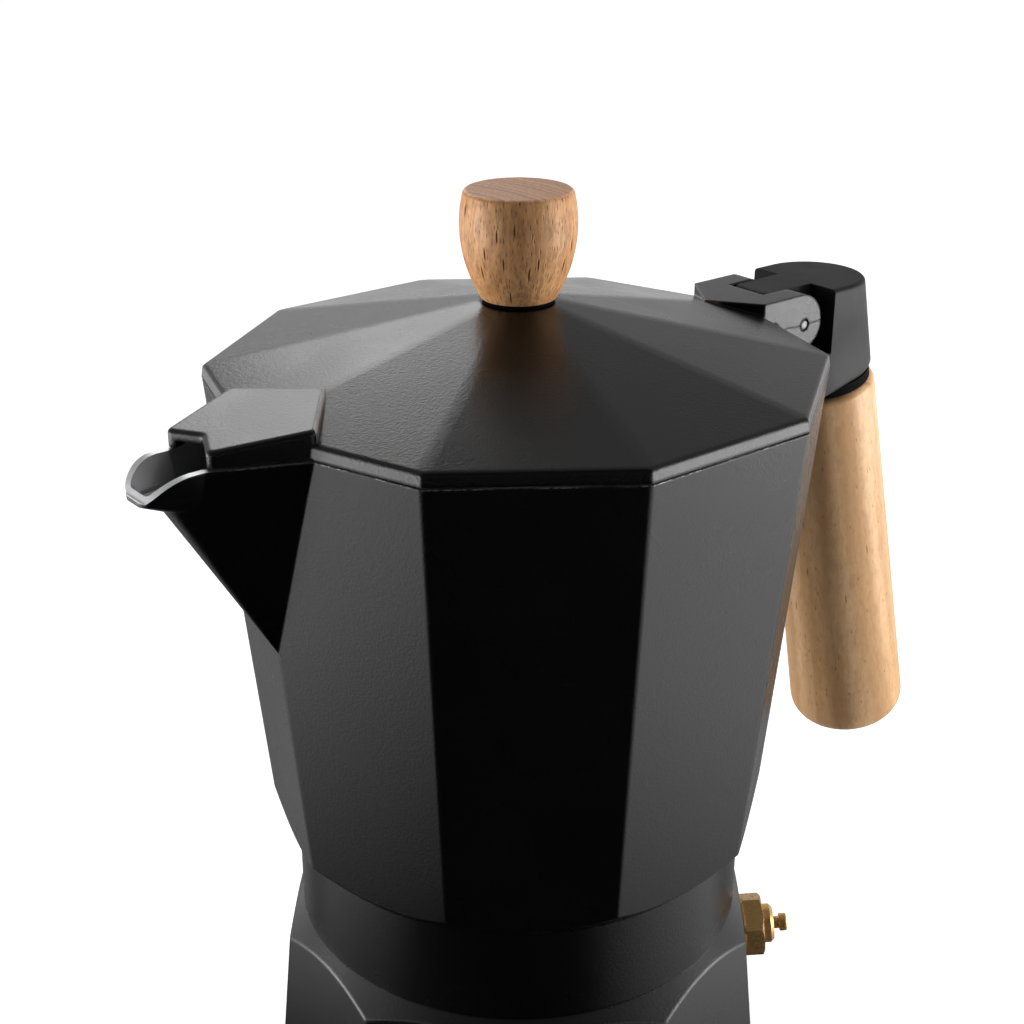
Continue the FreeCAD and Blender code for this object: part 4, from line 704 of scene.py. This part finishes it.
def make_card():
    """A black card with soft edges, flat before and behind the pot, that only reflections show."""
    card = plate("floor_card", CARD_CORNERS)
    card.location = (0, 0, CARD_LIFT)
    card.rotation_euler = (0, 0, math.radians(CAMERA_AZIMUTH))
    graph = new_material("card_black")
    right, forward, _ = graph.parts(graph.place())
    behind = graph.spread(forward, CARD_BEHIND_FROM, CARD_BEHIND_FULL, 0.0, CARD_BEHIND_HALF)
    before = graph.math("MULTIPLY", graph.math("SUBTRACT", forward, CARD_BEFORE_FROM), CARD_BEFORE_SLOPE)
    off_middle = graph.math("ABSOLUTE", graph.math("SUBTRACT", right, CARD_MIDDLE))
    past_edge = graph.math("SUBTRACT", off_middle, graph.math("MAXIMUM", behind, before))
    cover = graph.spread(past_edge, CARD_EDGE_FULL, CARD_EDGE_END, 1.0, 0.0, curve="LINEAR")
    thin = graph.spread(forward, 0.0, CARD_THIN_FULL, 1.0, CARD_THIN_COVER)
    graph.surface(
        Base_Color=CARD_COLOUR,
        Roughness=CARD_ROUGH,
        Specular_IOR_Level=0.0,
        Alpha=graph.math("MULTIPLY", cover, thin),
    )
    card.data.materials.append(graph.owner)
    card.visible_camera = False
    card.visible_diffuse = False
    card.visible_shadow = False


# The world in reflections, by the sine of elevation and the cosine from the camera, and as a diffuse light
WALL_SINE = math.sin(math.radians(-5))
CEILING_SINE = math.sin(math.radians(45))
WALL_BRIGHTNESS = 0.68
CEILING_BRIGHTNESS = 0.31
FRONT_FROM = 0.05
FRONT_FULL = 0.65
FRONT_SHARE = 0.12
DIFFUSE_STRENGTH = 0.12


def make_world():
    """White to the camera; in reflections dim overhead and on the camera's side; faint as a light."""
    world = bpy.data.worlds.new("studio")
    bpy.context.scene.world = world
    graph = Graph(world, "Background")
    seen, camera_rays = graph.seen_rays()
    way = graph.add("ShaderNodeTexCoord").outputs["Generated"]
    _, _, height = graph.parts(way)
    overhead = graph.spread(height, WALL_SINE, CEILING_SINE, WALL_BRIGHTNESS, CEILING_BRIGHTNESS)
    towards_camera = graph.vector_math("DOT_PRODUCT", way, from_camera(0, -1, 0)).outputs["Value"]
    front = graph.spread(towards_camera, FRONT_FROM, FRONT_FULL, 1.0, FRONT_SHARE)
    shade = graph.math("MAXIMUM", graph.math("MULTIPLY", overhead, front), camera_rays)
    graph.surface(Color=shade, Strength=graph.spread(seen, 0.0, 1.0, DIFFUSE_STRENGTH, 1.0))


def aim(made, place, way):
    """Puts a lamp or camera at a place, looking along a direction."""
    made.location = place
    made.rotation_mode = "QUATERNION"
    made.rotation_quaternion = way.to_track_quat("-Z", "Y")


# The height in metres that the lamps aim at
SET_MIDDLE = 0.15


def softbox(name, turn, rise, distance, width, height, brightness):
    """A rectangular lamp of an even brightness, aimed at the pot; turn 0 is behind it, 90 on its right."""
    azimuth = math.radians(turn)
    elevation = math.radians(rise)
    level = math.cos(elevation) * distance
    place = from_camera(math.sin(azimuth) * level, math.cos(azimuth) * level,
                        SET_MIDDLE + math.sin(elevation) * distance)
    lamp = bpy.data.lights.new(name, "AREA")
    lamp.shape = "RECTANGLE"
    lamp.size = width
    lamp.size_y = height
    lamp.energy = brightness * math.pi * width * height
    made = put(name, lamp)
    aim(made, place, Vector((0, 0, SET_MIDDLE)) - place)
    made.visible_camera = False
    return made


def make_lights():
    """Three lamps that reflections show, and three that light only diffuse surfaces."""
    softbox("left_glow", turn=-99, rise=-2, distance=0.62, width=0.44, height=0.24, brightness=5.0)
    softbox("right_glow", turn=96, rise=-2, distance=0.62, width=0.40, height=0.24, brightness=5.0)
    softbox("back_box", turn=-14, rise=32, distance=1.10, width=0.32, height=0.44, brightness=3.1)
    unseen = (
        softbox("left_fill", turn=-83, rise=1, distance=0.90, width=0.80, height=0.30, brightness=10.8),
        softbox("right_fill", turn=82, rise=1, distance=0.90, width=0.80, height=0.30, brightness=11.0),
        softbox("top_fill", turn=50, rise=66, distance=1.00, width=0.60, height=0.60, brightness=3.0),
    )
    for lamp in unseen:
        lamp.visible_glossy = False


def make_camera():
    data = bpy.data.cameras.new("camera")
    data.lens = CAMERA_LENS
    data.sensor_width = CAMERA_SENSOR
    data.shift_x = CAMERA_SHIFT
    data.clip_start = CAMERA_CLIP
    camera = put("camera", data)
    azimuth = math.radians(CAMERA_AZIMUTH)
    elevation = math.radians(CAMERA_ELEVATION)
    back = Vector((math.sin(azimuth) * math.cos(elevation),
                   -math.cos(azimuth) * math.cos(elevation), math.sin(elevation)))
    aim(camera, CAMERA_TARGET + back * CAMERA_DISTANCE, -back)
    bpy.context.scene.camera = camera


dress_castings()
dress_wood()
dress_fittings()
shorten_spring()
make_thread()
make_floor()
make_card()
make_world()
make_lights()
make_camera()
bpy.context.scene.view_settings.view_transform = "Standard"
